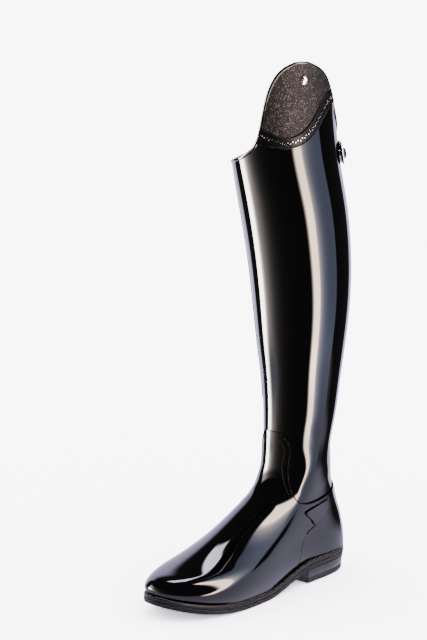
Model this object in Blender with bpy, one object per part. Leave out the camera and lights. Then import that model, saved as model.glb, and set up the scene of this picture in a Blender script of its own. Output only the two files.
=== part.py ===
# Left dress riding boot, empty and upright on its sole.
# Metres. Toe toward -Y, outer side toward +X, up +Z, origin at the centre of the heel's tread.
import math

import bpy
import numpy as np

for item in list(bpy.data.objects):
    bpy.data.objects.remove(item, do_unlink=True)

# Driving sizes of the last
SOLE_LENGTH = 0.2780
BACK_Y = 0.0420
HALF_BALL = 0.0460
ANKLE_HEIGHT = 0.1500
SHAFT_HEIGHT = 0.4500
CALF_DEPTH = 0.1250
HALF_CALF = 0.0510
TOE_SWING = 0.0074

# Driving sizes of the bottom
SOLE_THICK = 0.0050
WELT_THICK = 0.0040
HEEL_RISE = 0.0160
LIFT_THICK = 0.0055
TOE_SPRING = 0.0155
TREAD_FRONT = -0.1390
TREAD_REAR = -0.1130
BREAST_Y = -0.0405

# Driving sizes of the leather work
GAP = 0.0003
WALL = 0.0022
OVERLAY = 0.0011
STRAP_THICK = 0.0018
SLOT_BASE = 0.0486
STRAP_LOW = 0.4410
STRAP_HIGH = 0.4630
SLIDER_HEIGHT = 0.4320
PULL_LENGTH = 0.0300

# Sections of the foot, from the feather line up to the ankle. Columns: reach of the front from the
# sole's back and its height, the same for the back, then half-widths at the tip, outer ball, inner
# ball, outer waist, inner waist and heel. Reaches are shares of SOLE_LENGTH, heights of
# ANKLE_HEIGHT and half-widths of HALF_BALL.
FOOT_SECTIONS = (
    (0.965, 0.000, 0.0040, 0.000, 1.161, 0.893, 0.890, 0.673, 0.642, 1.293),
    (0.991, 0.186, 0.0099, 0.267, 1.262, 1.001, 0.980, 0.727, 0.673, 1.295),
    (0.973, 0.242, 0.0186, 0.360, 1.163, 0.990, 0.950, 0.727, 0.708, 1.229),
    (0.904, 0.279, 0.0327, 0.447, 1.009, 0.913, 0.874, 0.717, 0.719, 1.123),
    (0.796, 0.339, 0.0516, 0.533, 0.845, 0.815, 0.783, 0.707, 0.708, 1.015),
    (0.681, 0.433, 0.0676, 0.613, 0.736, 0.739, 0.697, 0.696, 0.709, 0.930),
    (0.569, 0.541, 0.0827, 0.693, 0.664, 0.699, 0.632, 0.691, 0.724, 0.847),
    (0.470, 0.648, 0.0931, 0.780, 0.645, 0.703, 0.620, 0.696, 0.749, 0.785),
    (0.408, 0.781, 0.1013, 0.880, 0.681, 0.742, 0.676, 0.696, 0.766, 0.750),
)

# Sections of the leg. Columns: height as a share of SHAFT_HEIGHT, reach of the front and of the
# back from the sole's back as shares of CALF_DEPTH, half-width as a share of HALF_CALF.
LEG_SECTIONS = (
    (0.333, 0.873, 0.244, 0.646),
    (0.389, 0.873, 0.209, 0.691),
    (0.462, 0.889, 0.179, 0.747),
    (0.556, 0.939, 0.155, 0.852),
    (0.667, 0.998, 0.137, 0.952),
    (0.778, 1.080, 0.162, 1.005),
    (0.889, 1.193, 0.242, 1.026),
    (1.000, 1.319, 0.348, 0.985),
    (1.211, 1.443, 0.456, 0.944),
)

# Height of the collar round the leg. Columns: turn in degrees from the front toward the outer
# side, height as a share of SHAFT_HEIGHT. The high part is the arched flap.
COLLAR = (
    (-180.0, 1.042), (-165.0, 1.038), (-143.0, 1.022), (-124.0, 1.008), (-90.0, 0.991),
    (-50.0, 0.984), (-19.0, 0.994), (-6.0, 1.001), (7.5, 1.015), (20.8, 1.045),
    (27.0, 1.080), (32.7, 1.121), (40.8, 1.164), (50.5, 1.192), (59.9, 1.205),
    (74.5, 1.213), (85.3, 1.206), (96.2, 1.195), (111.2, 1.156), (120.3, 1.112),
    (138.5, 1.064), (155.0, 1.040), (180.0, 1.042),
)

# Sole outline. Columns: half-widths as shares of HALF_BALL at the tip, outer ball, inner ball,
# outer waist, inner waist and heel.
SOLE_WIDTHS = (1.305, 0.985, 0.960, 0.790, 0.720, 1.360)
WIDTH_STOPS = (0.0, 0.30, 0.65, 1.0)

# Columns of the skin in degrees and rows from the feather line (0) by the ankle (1) to the collar (2)
OUTER_TURNS = (5, 14, 22, 29, 36, 45, 54, 62, 70, 81, 92, 103, 113, 124, 136, 146, 156, 165, 175)
TURNS = OUTER_TURNS + tuple(360 - turn for turn in reversed(OUTER_TURNS))
FOOT_ROWS = (0.0, 0.06, 0.13, 0.21, 0.30, 0.39, 0.49, 0.59, 0.69, 0.79, 0.89, 1.0)
LEG_ROWS = (1.09, 1.18, 1.27, 1.36, 1.45, 1.54, 1.63, 1.72, 1.81, 1.90, 1.95, 2.0)

# Seam lines in side view, as (y, z) in millimetres
VAMP_EDGE = (
    (-66.0, 163.8), (-63.5, 157.9), (-60.6, 149.0), (-61.2, 134.0), (-63.4, 118.0),
    (-65.2, 104.0), (-63.4, 96.0), (-53.0, 90.2), (-36.0, 88.2), (-17.0, 89.0), (-3.0, 90.4),
)
COUNTER_EDGE = (
    (-3.4, 84.0), (-5.6, 75.5), (-12.6, 69.0), (-21.5, 64.0), (-34.0, 60.0), (-47.0, 54.0),
    (-52.0, 46.0), (-54.0, 40.0), (-55.4, 32.0), (-58.0, 20.0), (-60.0, 0.0),
)
COUNTER_TOP = ((-1.0, 90.0), (6.0, 92.0), (14.0, 97.0), (60.0, 99.0))
SPUR_OUTLINE = (
    (-49.6, 79.0), (-48.6, 80.2), (-41.6, 81.6), (-22.7, 83.8), (-8.9, 85.2), (-7.2, 80.0),
    (-9.0, 75.0), (-14.0, 70.2), (-22.0, 65.6), (-31.5, 62.4), (-33.4, 63.8), (-38.0, 69.2),
    (-47.5, 76.3),
)
CALF_PANEL_EDGE = (
    (-78.0, 262.0), (-71.6, 235.0), (-62.0, 212.0), (-52.0, 196.0), (-36.0, 177.0),
    (-18.8, 163.0), (-1.9, 150.0), (12.0, 141.0), (40.0, 136.0),
)
GLITTER_EDGE = (
    (-145.0, 489.0), (-122.9, 481.0), (-115.8, 475.7), (-107.5, 473.0), (-97.8, 475.4),
    (-86.3, 484.4), (-75.2, 498.8), (-66.6, 510.5), (-51.7, 518.5), (-30.0, 521.0),
)
BAND_EDGE = (
    (-145.0, 467.0), (-120.5, 464.6), (-110.6, 461.8), (-100.3, 462.5), (-85.4, 469.7),
    (-74.5, 480.7), (-66.0, 491.0), (-56.0, 500.5), (-44.0, 507.0), (-30.0, 510.0),
)


def ease(x):
    x = min(1.0, max(0.0, x))
    return x * x * (3.0 - 2.0 * x)


def sole_bottom(y):
    """Height of the sole's underside: level under the ball, lifted by the toe spring and the heel."""
    toe_y = BACK_Y - SOLE_LENGTH
    toe = max(0.0, (TREAD_FRONT - y) / (TREAD_FRONT - toe_y))
    heel = ease((y - TREAD_REAR) / (BREAST_Y + 0.012 - TREAD_REAR))
    return TOE_SPRING * toe * toe + HEEL_RISE * heel


def feather(y):
    """Height of the line where the upper meets the welt."""
    return sole_bottom(y) + SOLE_THICK + WELT_THICK + 2.0 * GAP


def weights(c):
    """Share of each width stop at the share c of a section's chord."""
    out = []
    for k, stop in enumerate(WIDTH_STOPS):
        share = 1.0
        for j, other in enumerate(WIDTH_STOPS):
            if j != k:
                share *= (c - other) / (stop - other)
        out.append(share)
    return out


def half_width(c, outer, widths):
    tip, ball_out, ball_in, waist_out, waist_in, heel = widths
    share = weights(c)
    ball, waist = (ball_out, waist_out) if outer else (ball_in, waist_in)
    return tip * share[0] + ball * share[1] + waist * share[2] + heel * share[3]


def centre(y):
    """The last's centre line, which swings inward toward the toe."""
    run = max(0.0, (-0.089 - y) / 0.140)
    return -TOE_SWING * run * run


def spline(stops, values):
    """Natural cubic spline through rows of values: returns a function of the stop."""
    stops, values = np.array(stops, float), np.array(values, float)
    n, step = len(stops), np.diff(stops)
    left, right = np.zeros((n, n)), np.zeros_like(values)
    left[0, 0] = left[-1, -1] = 1.0
    for i in range(1, n - 1):
        left[i, i - 1 : i + 2] = step[i - 1], 2.0 * (step[i - 1] + step[i]), step[i]
        rise = (values[i + 1] - values[i]) / step[i] - (values[i] - values[i - 1]) / step[i - 1]
        right[i] = 3.0 * rise
    bend = np.linalg.solve(left, right)

    def at(stop):
        i = min(n - 2, max(0, int(np.searchsorted(stops, stop, side="right")) - 1))
        d, h = stop - stops[i], step[i]
        slope = (values[i + 1] - values[i]) / h - h * (2.0 * bend[i] + bend[i + 1]) / 3.0
        return values[i] + slope * d + bend[i] * d * d + (bend[i + 1] - bend[i]) / (3.0 * h) * d**3

    return at


def section_rows():
    rows = []
    for front, front_z, back, back_z, *widths in FOOT_SECTIONS:
        front_y, back_y = BACK_Y - front * SOLE_LENGTH, BACK_Y - back * SOLE_LENGTH
        low_front = front_z * ANKLE_HEIGHT or feather(front_y)
        low_back = back_z * ANKLE_HEIGHT or feather(back_y)
        rows.append([front_y, low_front, back_y, low_back] + [w * HALF_BALL for w in widths])
    for height, front, back, half in LEG_SECTIONS:
        z, w = height * SHAFT_HEIGHT, half * HALF_CALF
        ring = [0.95 * w, 0.985 * w, 0.985 * w, 1.02 * w, 1.02 * w, w]
        rows.append([BACK_Y - front * CALF_DEPTH, z, BACK_Y - back * CALF_DEPTH, z] + ring)
    return rows


ROWS = section_rows()
STOPS = [0.0]
for low, high in zip(ROWS, ROWS[1:]):
    front_step = math.dist(low[:2], high[:2])
    back_step = math.dist(low[2:4], high[2:4])
    STOPS.append(STOPS[-1] + (front_step + back_step) / 2.0)
SECTION = spline(STOPS, ROWS)
ANKLE_STOP = STOPS[len(FOOT_SECTIONS)]
around = [(a - 360.0, h) for a, h in COLLAR[:-1]] + list(COLLAR) + [(a + 360.0, h) for a, h in COLLAR[1:]]
COLLAR_AT = spline([a for a, h in around], [[h * SHAFT_HEIGHT] for a, h in around])
LEG_STOPS = np.linspace(ANKLE_STOP, STOPS[-1], 300)
LEG_HEIGHTS = [SECTION(s)[1] for s in LEG_STOPS]


def skin(stop, turn):
    """Point of the boot's outer skin. The turn runs in degrees from the toe over the outer side."""
    front_y, front_z, back_y, back_z, *widths = SECTION(stop)
    angle = math.radians(turn)
    c, side = (1.0 - math.cos(angle)) / 2.0, math.sin(angle)
    y = front_y + (back_y - front_y) * c
    z = front_z + (back_z - front_z) * c
    low = ROWS[0]
    low_y, low_z = low[0] + (low[2] - low[0]) * c, low[1] + (low[3] - low[1]) * c
    fade = max(0.0, 1.0 - stop / STOPS[4])
    z += fade * fade * (feather(low_y) - low_z)
    return np.array((centre(y) + side * half_width(c, side >= 0.0, widths), y, z))


def normal(stop, turn):
    """Outward direction of the skin. It is level at the feather line."""
    low = max(0.0, stop - 0.0005)
    along = skin(stop, turn + 0.2) - skin(stop, turn - 0.2)
    upward = skin(low + 0.001, turn) - skin(low, turn)
    out = np.cross(along, upward)
    if stop <= 0.001:
        out[2] = 0.0
    return out / np.linalg.norm(out)


def lifted(stop, turn, out):
    """Point at a distance off the skin. At the feather line it keeps its height over the welt."""
    start = skin(stop, turn)
    point = start + normal(stop, turn) * out
    if stop <= 0.001:
        point[2] += feather(point[1]) - feather(start[1])
    return point


def stop_at(height):
    return float(np.interp(height, LEG_HEIGHTS, LEG_STOPS))


def stop_of(row, turn):
    """Spline stop of a row: shares of the foot up to 1, then equal shares of the way to the collar."""
    if row <= 1.0:
        return row * ANKLE_STOP
    wrapped = (turn + 180.0) % 360.0 - 180.0
    low = LEG_HEIGHTS[0]
    return stop_at(low + (float(COLLAR_AT(wrapped)[0]) - low) * (row - 1.0))


def level_stop(height, turn):
    return stop_at(height)


def row_at(height, turn):
    """Row of the foot at which the skin reaches a height on one column."""
    low, high = 0.0, 1.0
    for _ in range(30):
        middle = (low + high) / 2.0
        if skin(middle * ANKLE_STOP, turn)[2] < height:
            low = middle
        else:
            high = middle
    return low


SLOT_ROW = row_at(SLOT_BASE, 180.0)
ALL_ROWS = tuple(sorted(FOOT_ROWS + LEG_ROWS + (SLOT_ROW,)))

main = bpy.context.scene.collection
cutters = bpy.data.collections.new("cutters")
main.children.link(cutters)


def material(name, colour, roughness, metallic=0.0, coat=0.0):
    made = bpy.data.materials.new(name)
    made.use_nodes = True
    node = made.node_tree.nodes["Principled BSDF"]
    node.inputs["Base Color"].default_value = (*colour, 1.0)
    node.inputs["Roughness"].default_value = roughness
    node.inputs["Metallic"].default_value = metallic
    node.inputs["Coat Weight"].default_value = coat
    return made


PATENT = material("patent_leather", (0.006, 0.006, 0.007), 0.12, coat=1.0)
CALF = material("calf_leather", (0.012, 0.012, 0.014), 0.45)
GLITTER = material("glitter_fabric", (0.05, 0.05, 0.055), 0.6)
WELT = material("welt_leather", (0.045, 0.032, 0.026), 0.5)
RUBBER = material("sole_rubber", (0.013, 0.013, 0.013), 0.6)
HEEL = material("heel_leather", (0.02, 0.019, 0.019), 0.35)
INSOLE = material("insole_leather", (0.48, 0.22, 0.08), 0.6)
TAPE = material("zip_tape", (0.01, 0.01, 0.01), 0.8)
COIL = material("zip_coil", (0.02, 0.02, 0.02), 0.3)
METAL = material("nickel", (0.62, 0.62, 0.63), 0.2, metallic=1.0)


def node(name, points, faces, slot, hidden=False):
    mesh = bpy.data.meshes.new(name)
    mesh.from_pydata([tuple(map(float, p)) for p in points], [], faces)
    mesh.update()
    made = bpy.data.objects.new(name, mesh)
    if hidden:
        cutters.objects.link(made)
        made.hide_render = True
        made.display_type = "WIRE"
    else:
        main.objects.link(made)
        mesh.materials.append(slot)
    return made


def boolean(target, cutter, operation):
    cut = target.modifiers.new(cutter.name, "BOOLEAN")
    cut.operation = operation
    cut.solver = "EXACT"
    cut.object = cutter


def shell(name, slot, turns, rows, lift, thick, skip=None, loop=False, by=stop_of):
    """Closed sheet that follows the skin: its inner face is lifted off it, its outer face is thick above that."""
    wide, tall = len(turns), len(rows)
    points = []
    for out in (lift + thick, lift):
        for row in rows:
            for turn in turns:
                points.append(lifted(by(row, turn), turn, out))
    layer = wide * tall
    faces, edges = [], {}
    for i in range(tall - 1):
        for j in range(wide if loop else wide - 1):
            if skip and skip(rows[i], turns[j]):
                continue
            k = (j + 1) % wide
            cell = (i * wide + j, i * wide + k, (i + 1) * wide + k, (i + 1) * wide + j)
            a, b, c, d = cell
            faces += [(a, b, c), (a, c, d)]
            faces += [(c + layer, b + layer, a + layer), (d + layer, c + layer, a + layer)]
            for a, b in zip(cell, cell[1:] + cell[:1]):
                if (b, a) in edges:
                    del edges[(b, a)]
                else:
                    edges[(a, b)] = True
    for a, b in edges:
        faces.append((b, a, a + layer, b + layer))
    used = sorted({p for face in faces for p in face})
    order = {p: n for n, p in enumerate(used)}
    return node(name, [points[p] for p in used], [tuple(order[p] for p in f) for f in faces], slot)


def side_prism(name, outline, low_x, high_x):
    """Cutter with a side-view outline in millimetres, run across from low_x to high_x."""
    count = len(outline)
    area = sum(a[0] * b[1] - b[0] * a[1] for a, b in zip(outline, outline[1:] + outline[:1]))
    ring = list(outline) if area > 0.0 else list(reversed(outline))
    points = [(x, y / 1000.0, z / 1000.0) for x in (low_x, high_x) for y, z in ring]
    faces = [tuple(reversed(range(count))), tuple(range(count, 2 * count))]
    faces += [(i, (i + 1) % count, (i + 1) % count + count, i + count) for i in range(count)]
    return node(name, points, faces, None, hidden=True)


def box(name, low, high, slot=None, hidden=False):
    points = [(x, y, z) for x in (low[0], high[0]) for y in (low[1], high[1]) for z in (low[2], high[2])]
    faces = [(0, 1, 3, 2), (4, 6, 7, 5), (0, 4, 5, 1), (2, 3, 7, 6), (0, 2, 6, 4), (1, 5, 7, 3)]
    return node(name, points, faces, slot, hidden)


def shift(outline, dy, dz):
    return tuple((y + dy, z + dz) for y, z in outline)


# Upper: one lasted shell from the feather line to the collar, with the slot for the zip at the back
def in_slot(row, turn):
    return turn == 175 and row >= SLOT_ROW - 1e-6


upper = shell("upper", PATENT, TURNS, ALL_ROWS, -WALL, WALL, skip=in_slot, loop=True)

# Vamp: the foot piece laid over the shaft, up to its rounded peak and back to the counter
LOW_ROW = 0.004
FOOT_TOP = (LOW_ROW,) + tuple(r for r in ALL_ROWS if 0.0 < r <= 1.09)
vamp = shell("vamp", PATENT, TURNS, FOOT_TOP, GAP, OVERLAY, loop=True)
vamp_cut = VAMP_EDGE + shift(COUNTER_EDGE, -0.4, 0.0)
vamp_cut += ((120.0, 0.0), (120.0, 400.0), (-260.0, 400.0), (-260.0, 163.8))
boolean(vamp, side_prism("vamp_cut", vamp_cut, -0.1, 0.1), "DIFFERENCE")

# Counter: one piece each side of the heel, from the seam behind the quarter to the zip's facing
band_cut = box("band_cut", (-0.0184, 0.0, 0.0), (0.0184, 0.1, 0.0490), hidden=True)
counter_keep = tuple(reversed(COUNTER_EDGE)) + COUNTER_TOP + ((60.0, 0.0),)
counter_cut = side_prism("counter_cut", counter_keep, -0.1, 0.1)
HEEL_ROWS = (LOW_ROW,) + tuple(r for r in ALL_ROWS if 0.0 < r <= 1.0)
OUTER_HEEL = (81, 92, 103, 113, 124, 136, 146, 156, 164.4)
for name, turns in (
    ("counter_outer", OUTER_HEEL),
    ("counter_inner", tuple(360 - t for t in reversed(OUTER_HEEL))),
):
    piece = shell(name, PATENT, turns, HEEL_ROWS, GAP, OVERLAY)
    boolean(piece, counter_cut, "INTERSECT")
    boolean(piece, band_cut, "DIFFERENCE")

# Heel band: the low strip round the back of the heel, under the zip's end
band = shell("heel_band", PATENT, (146, 156, 165, 175, 185, 195, 204, 214), HEEL_ROWS, GAP, 0.0015)
band_outline = (
    (-0.0180, 0.0), (0.0180, 0.0), (0.0180, 0.0425), (0.0165, 0.0466), (0.0125, 0.0484),
    (-0.0125, 0.0484), (-0.0165, 0.0466), (-0.0180, 0.0425),
)
ring = len(band_outline)
band_points = [(x, y, z) for y in (0.1, 0.0) for x, z in band_outline]
band_faces = [tuple(range(ring))[::-1], tuple(range(ring, 2 * ring))]
band_faces += [(i, (i + 1) % ring, (i + 1) % ring + ring, i + ring) for i in range(ring)]
boolean(band, node("band_keep", band_points, band_faces, None, hidden=True), "INTERSECT")

# Spur rests: a small raised wedge each side above the counter's seam
SECOND = GAP + OVERLAY + GAP
SPUR_TURNS = (86, 92, 103, 113, 124, 136, 146)
for name, turns in (
    ("spur_rest_outer", SPUR_TURNS),
    ("spur_rest_inner", tuple(360 - t for t in reversed(SPUR_TURNS))),
):
    piece = shell(name, PATENT, turns, HEEL_ROWS, SECOND, 0.0016)
    boolean(piece, side_prism(name + "_keep", SPUR_OUTLINE, -0.1, 0.1), "INTERSECT")

# Zip facings: a narrow strip each side of the slot, from the heel band to the collar
ABOVE_SLOT = (row_at(SLOT_BASE + 0.0009, 180.0),) + tuple(r for r in ALL_ROWS if r > SLOT_ROW + 0.01)
shell("zip_facing_outer", PATENT, (165.2, 175), ABOVE_SLOT, GAP, OVERLAY)
shell("zip_facing_inner", PATENT, (185, 194.8), ABOVE_SLOT, GAP, OVERLAY)

# Calf panel: the matt inner half of the leg, from the collar down to its swept seam
PANEL_TURNS = (195.6,) + tuple(turn for turn in TURNS if 200 < turn < 306) + (306,)
panel = shell("calf_panel", CALF, PANEL_TURNS, tuple(r for r in ALL_ROWS if r >= 0.89), GAP, OVERLAY)
panel_cut = CALF_PANEL_EDGE + ((40.0, 60.0), (-140.0, 60.0), (-140.0, 262.0))
boolean(panel, side_prism("panel_cut", panel_cut, -0.1, 0.0), "DIFFERENCE")

# Flap dressing: the glitter panel in the arch, and the raised crescent under it
FLAP_TURNS = (16,) + tuple(turn for turn in TURNS if 16 < turn < 125) + (125,)
FLAP_ROWS = tuple(r for r in ALL_ROWS if r >= 1.72)
glitter = shell("glitter_panel", GLITTER, FLAP_TURNS, FLAP_ROWS, GAP, 0.0008)
under_glitter = GLITTER_EDGE + ((20.0, 521.0), (20.0, 340.0), (-145.0, 340.0))
boolean(glitter, side_prism("glitter_cut", under_glitter, -0.1, 0.1), "DIFFERENCE")
crescent = shell("flap_crescent", PATENT, FLAP_TURNS, FLAP_ROWS, GAP, 0.0014)
crescent_keep = shift(GLITTER_EDGE, 0.2, -0.6) + tuple(reversed(BAND_EDGE))
boolean(crescent, side_prism("crescent_keep", crescent_keep, -0.1, 0.1), "INTERSECT")

# Zip: the tape behind the slot and the coil that stands in it
shell("zip_tape", TAPE, (165, 175, 185, 195), ABOVE_SLOT, -WALL - GAP - 0.0009, 0.0009)
shell("zip_coil", COIL, (175.7, 184.3), ABOVE_SLOT, -WALL, 0.0018)


# Snap strap: over the zip's top, from the inner side round to the snap on the outer side
STRAP_TURNS = (124, 130, 136, 146, 156, 165, 175, 185, 195, 202)
STRAP_ROWS = (STRAP_LOW, STRAP_HIGH)
shell("snap_strap", PATENT, STRAP_TURNS, STRAP_ROWS, GAP + SECOND, STRAP_THICK, by=level_stop)


def frame_at(height, turn, out):
    """Origin and the across, up and outward directions of a small piece that sits on the skin."""
    stop = stop_at(height)
    outward = normal(stop, turn)
    across = np.cross((0.0, 0.0, 1.0), outward)
    across /= np.linalg.norm(across)
    return skin(stop, turn) + outward * out, across, np.cross(outward, across), outward


def placed(place, point):
    origin, across, up, outward = place
    return origin + across * point[0] + up * point[1] + outward * point[2]


def turned(name, slot, place, profile, sides=20):
    """Round piece on the skin from a profile of (radius, outward) pairs, closed at both ends."""
    points, faces = [], []
    for radius, out in profile:
        for k in range(sides):
            a = 2.0 * math.pi * k / sides
            points.append(placed(place, (radius * math.cos(a), radius * math.sin(a), out)))
    faces.append(tuple(reversed(range(sides))))
    for i in range(len(profile) - 1):
        for k in range(sides):
            n = (k + 1) % sides
            faces.append((i * sides + k, i * sides + n, (i + 1) * sides + n, (i + 1) * sides + k))
    faces.append(tuple(range((len(profile) - 1) * sides, len(profile) * sides)))
    return node(name, points, faces, slot)


SNAP_HEIGHT = (STRAP_LOW + STRAP_HIGH) / 2.0
STRAP_FACE = GAP + SECOND + STRAP_THICK
turned("snap_socket", METAL, frame_at(SNAP_HEIGHT, 131.0, 0.0), ((0.0040, 0.0004), (0.0040, 0.0014)))
DOME = ((0.0056, 0.0), (0.0056, 0.0008), (0.0048, 0.0020), (0.0030, 0.0028), (0.0012, 0.0031))
turned("snap_cap", METAL, frame_at(SNAP_HEIGHT, 131.0, STRAP_FACE + 0.0005), DOME)
STUD_DOME = ((0.0046, 0.0), (0.0046, 0.0006), (0.0040, 0.0016), (0.0026, 0.0023), (0.0010, 0.0026))
turned("flap_stud", METAL, frame_at(0.5285, 73.0, 0.0018), STUD_DOME)
turned("stud_rivet", METAL, frame_at(0.5285, 73.0, -WALL - 0.0018), ((0.0034, 0.0), (0.0034, 0.0012)))


# Zip slider and its pull, which hangs from the slider's bridge and swings about the bar under it
PIVOT_OUT = 0.0027
slide = frame_at(SLIDER_HEIGHT, 180.0, 0.0)


def prism_on(name, slot, outline, low, high, upright=False, hidden=False):
    """Plate at the slider: an (across, up) outline run outward, or an (up, outward) one run across."""
    count = len(outline)
    if upright:
        points = [placed(slide, (run, a, b)) for run in (low, high) for a, b in outline]
    else:
        points = [placed(slide, (a, b, run)) for run in (low, high) for a, b in outline]
    faces = [tuple(reversed(range(count))), tuple(range(count, 2 * count))]
    faces += [(i, (i + 1) % count, (i + 1) % count + count, i + count) for i in range(count)]
    return node(name, points, faces, slot, hidden)


def rectangle(half, low, high):
    return ((-half, low), (half, low), (half, high), (-half, high))


slider = prism_on("zip_slider", METAL, rectangle(0.0034, -0.0055, 0.0060), 0.0001, 0.0016)
BRIDGE = (
    (-0.0045, 0.0010), (-0.0030, 0.0010), (-0.0030, 0.0038), (0.0030, 0.0038),
    (0.0030, 0.0010), (0.0045, 0.0010), (0.0045, 0.0048), (-0.0045, 0.0048),
)
boolean(slider, prism_on("slider_bridge", METAL, BRIDGE, -0.0017, 0.0017, True, True), "UNION")
link = prism_on("pull_link", METAL, rectangle(0.00315, -0.00755, 0.00055), 0.0023, 0.0031)
window = rectangle(0.00205, -0.00645, -0.00055)
boolean(link, prism_on("link_window", None, window, 0.0010, 0.0050, hidden=True), "DIFFERENCE")
TAB = (
    (-0.00175, -0.0055), (-0.00175, -0.0083), (-0.0029, -0.0095), (-0.0042, -PULL_LENGTH),
    (-0.0030, -PULL_LENGTH - 0.0035), (0.0, -PULL_LENGTH - 0.0055), (0.0030, -PULL_LENGTH - 0.0035),
    (0.0042, -PULL_LENGTH), (0.0029, -0.0095), (0.00175, -0.0083), (0.00175, -0.0055),
)
tab = prism_on("pull_tab", CALF, TAB, 0.0016, 0.0038)
eye = ((-0.00785, 0.0020), (-0.00615, 0.0020), (-0.00615, 0.0034), (-0.00785, 0.0034))
boolean(tab, prism_on("tab_eye", None, eye, -0.0040, 0.0040, True, True), "DIFFERENCE")
pivot = placed(slide, (0.0, 0.0, PIVOT_OUT))
for moving in (link, tab):
    for corner in moving.data.vertices:
        corner.co = [a - float(b) for a, b in zip(corner.co, pivot)]
    moving.location = [float(a) for a in pivot]
    moving.data.update()


# Bottom: pairs of points share their height, so each plate is a ladder of quads. Through the waist,
# where the sole climbs to the heel, every outline has its points at the y of the upper's columns.
SOLE_ENDS = (BACK_Y - SOLE_LENGTH, BACK_Y)
LAST_ENDS = (ROWS[0][0], ROWS[0][2])


def matched(turn, ends, inset):
    half_turn = min(turn, 360.0 - turn)
    if 50.0 < half_turn < 130.0:
        reach = (ends[1] - ends[0]) / 2.0 - inset
        half_turn = math.degrees(math.acos(((ends[0] + ends[1]) / 2.0 - skin(0.0, half_turn)[1]) / reach))
    return half_turn if turn < 180.0 else 360.0 - half_turn


def sole_point(turn, inset):
    angle = math.radians(matched(turn, SOLE_ENDS, inset))
    c, side = (1.0 - math.cos(angle)) / 2.0, math.sin(angle)
    y = BACK_Y - SOLE_LENGTH * (1.0 - c)
    half = half_width(c, side >= 0.0, [w * HALF_BALL for w in SOLE_WIDTHS])
    return centre(y) + side * (half - inset), y + inset * math.cos(angle)


def upper_point(turn, inset):
    on_last = matched(turn, LAST_ENDS, inset)
    x, y, _ = skin(0.0, on_last)
    angle = math.radians(on_last)
    return x - math.sin(angle) * inset, y + math.cos(angle) * inset


def pairs_of(turns, point, inset):
    """(inner side, outer side) pairs of outline points, from toe to heel."""
    return [(point(360.0 - turn, inset), point(turn, inset)) for turn in turns]


def plate(name, slot, low_pairs, high_pairs, low, high):
    """Solid between a lower and an upper outline, each at its own height over the length."""
    points, layer = [], 2 * len(low_pairs)
    for pairs, height in ((low_pairs, low), (high_pairs, high)):
        points += [(x, y, height(y)) for pair in pairs for x, y in pair]
    faces = [(0, 1, layer + 1, layer), (layer - 1, layer - 2, 2 * layer - 2, 2 * layer - 1)]
    for i in range(0, layer - 2, 2):
        a, b, c, d = i, i + 1, i + 3, i + 2
        faces += [(d, c, b, a), (a + layer, b + layer, c + layer, d + layer)]
        faces += [(b, c, c + layer, b + layer), (d, a, a + layer, d + layer)]
    return node(name, points, faces, slot)


def under_sole(y):
    return sole_bottom(y) - GAP


def sole_top(y):
    return sole_bottom(y) + SOLE_THICK


def on_sole(y):
    return sole_top(y) + GAP


def welt_top(y):
    return on_sole(y) + WELT_THICK


def insole_top(y):
    return feather(y) + 0.0022


outline = pairs_of(OUTER_TURNS, sole_point, 0.0)
plate("outsole", RUBBER, outline, outline, sole_bottom, sole_top)
inner_line = pairs_of(OUTER_TURNS, upper_point, 0.0040)
plate("insole", INSOLE, inner_line, inner_line, on_sole, insole_top)

# Welt: the leather strip all round, level with the sole's edge, on which the upper stands
ring = len(TURNS)
loops = [[point(t, inset) for t in TURNS] for point, inset in ((sole_point, 0.0), (upper_point, 0.0037))]
welt_points = [(x, y, height(y)) for height in (on_sole, welt_top) for loop in loops for x, y in loop]
welt_faces = []
for i in range(ring):
    n = (i + 1) % ring
    low = (i, n, n + ring, i + ring)
    top = tuple(p + 2 * ring for p in low)
    welt_faces += [tuple(reversed(low)), top, (i, n, top[1], top[0]), (low[2], low[3], top[3], top[2])]
node("welt", welt_points, welt_faces, WELT)

# Heel: a stacked block under the seat, drawn in a little toward the ground, and its rubber lift
HEEL_TURNS = [turn for turn in OUTER_TURNS if skin(0.0, turn)[1] > BREAST_Y - 0.001]
seat, waisted = pairs_of(HEEL_TURNS, sole_point, 0.0008), pairs_of(HEEL_TURNS, sole_point, 0.0020)
tread = pairs_of(HEEL_TURNS, sole_point, 0.0024)
plate("heel_block", HEEL, waisted, seat, lambda y: LIFT_THICK + GAP, under_sole)
plate("heel_lift", RUBBER, tread, waisted, lambda y: 0.0, lambda y: LIFT_THICK)
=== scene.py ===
# Left dress riding boot in black patent leather: the looks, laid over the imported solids.
# Metres, in the solids' own frame: toe toward -Y, outer side toward +X, up +Z.
import math

import bpy
import numpy as np
from mathutils import Matrix, Vector
from mathutils.bvhtree import BVHTree
from mathutils.interpolate import poly_3d_calc


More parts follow.
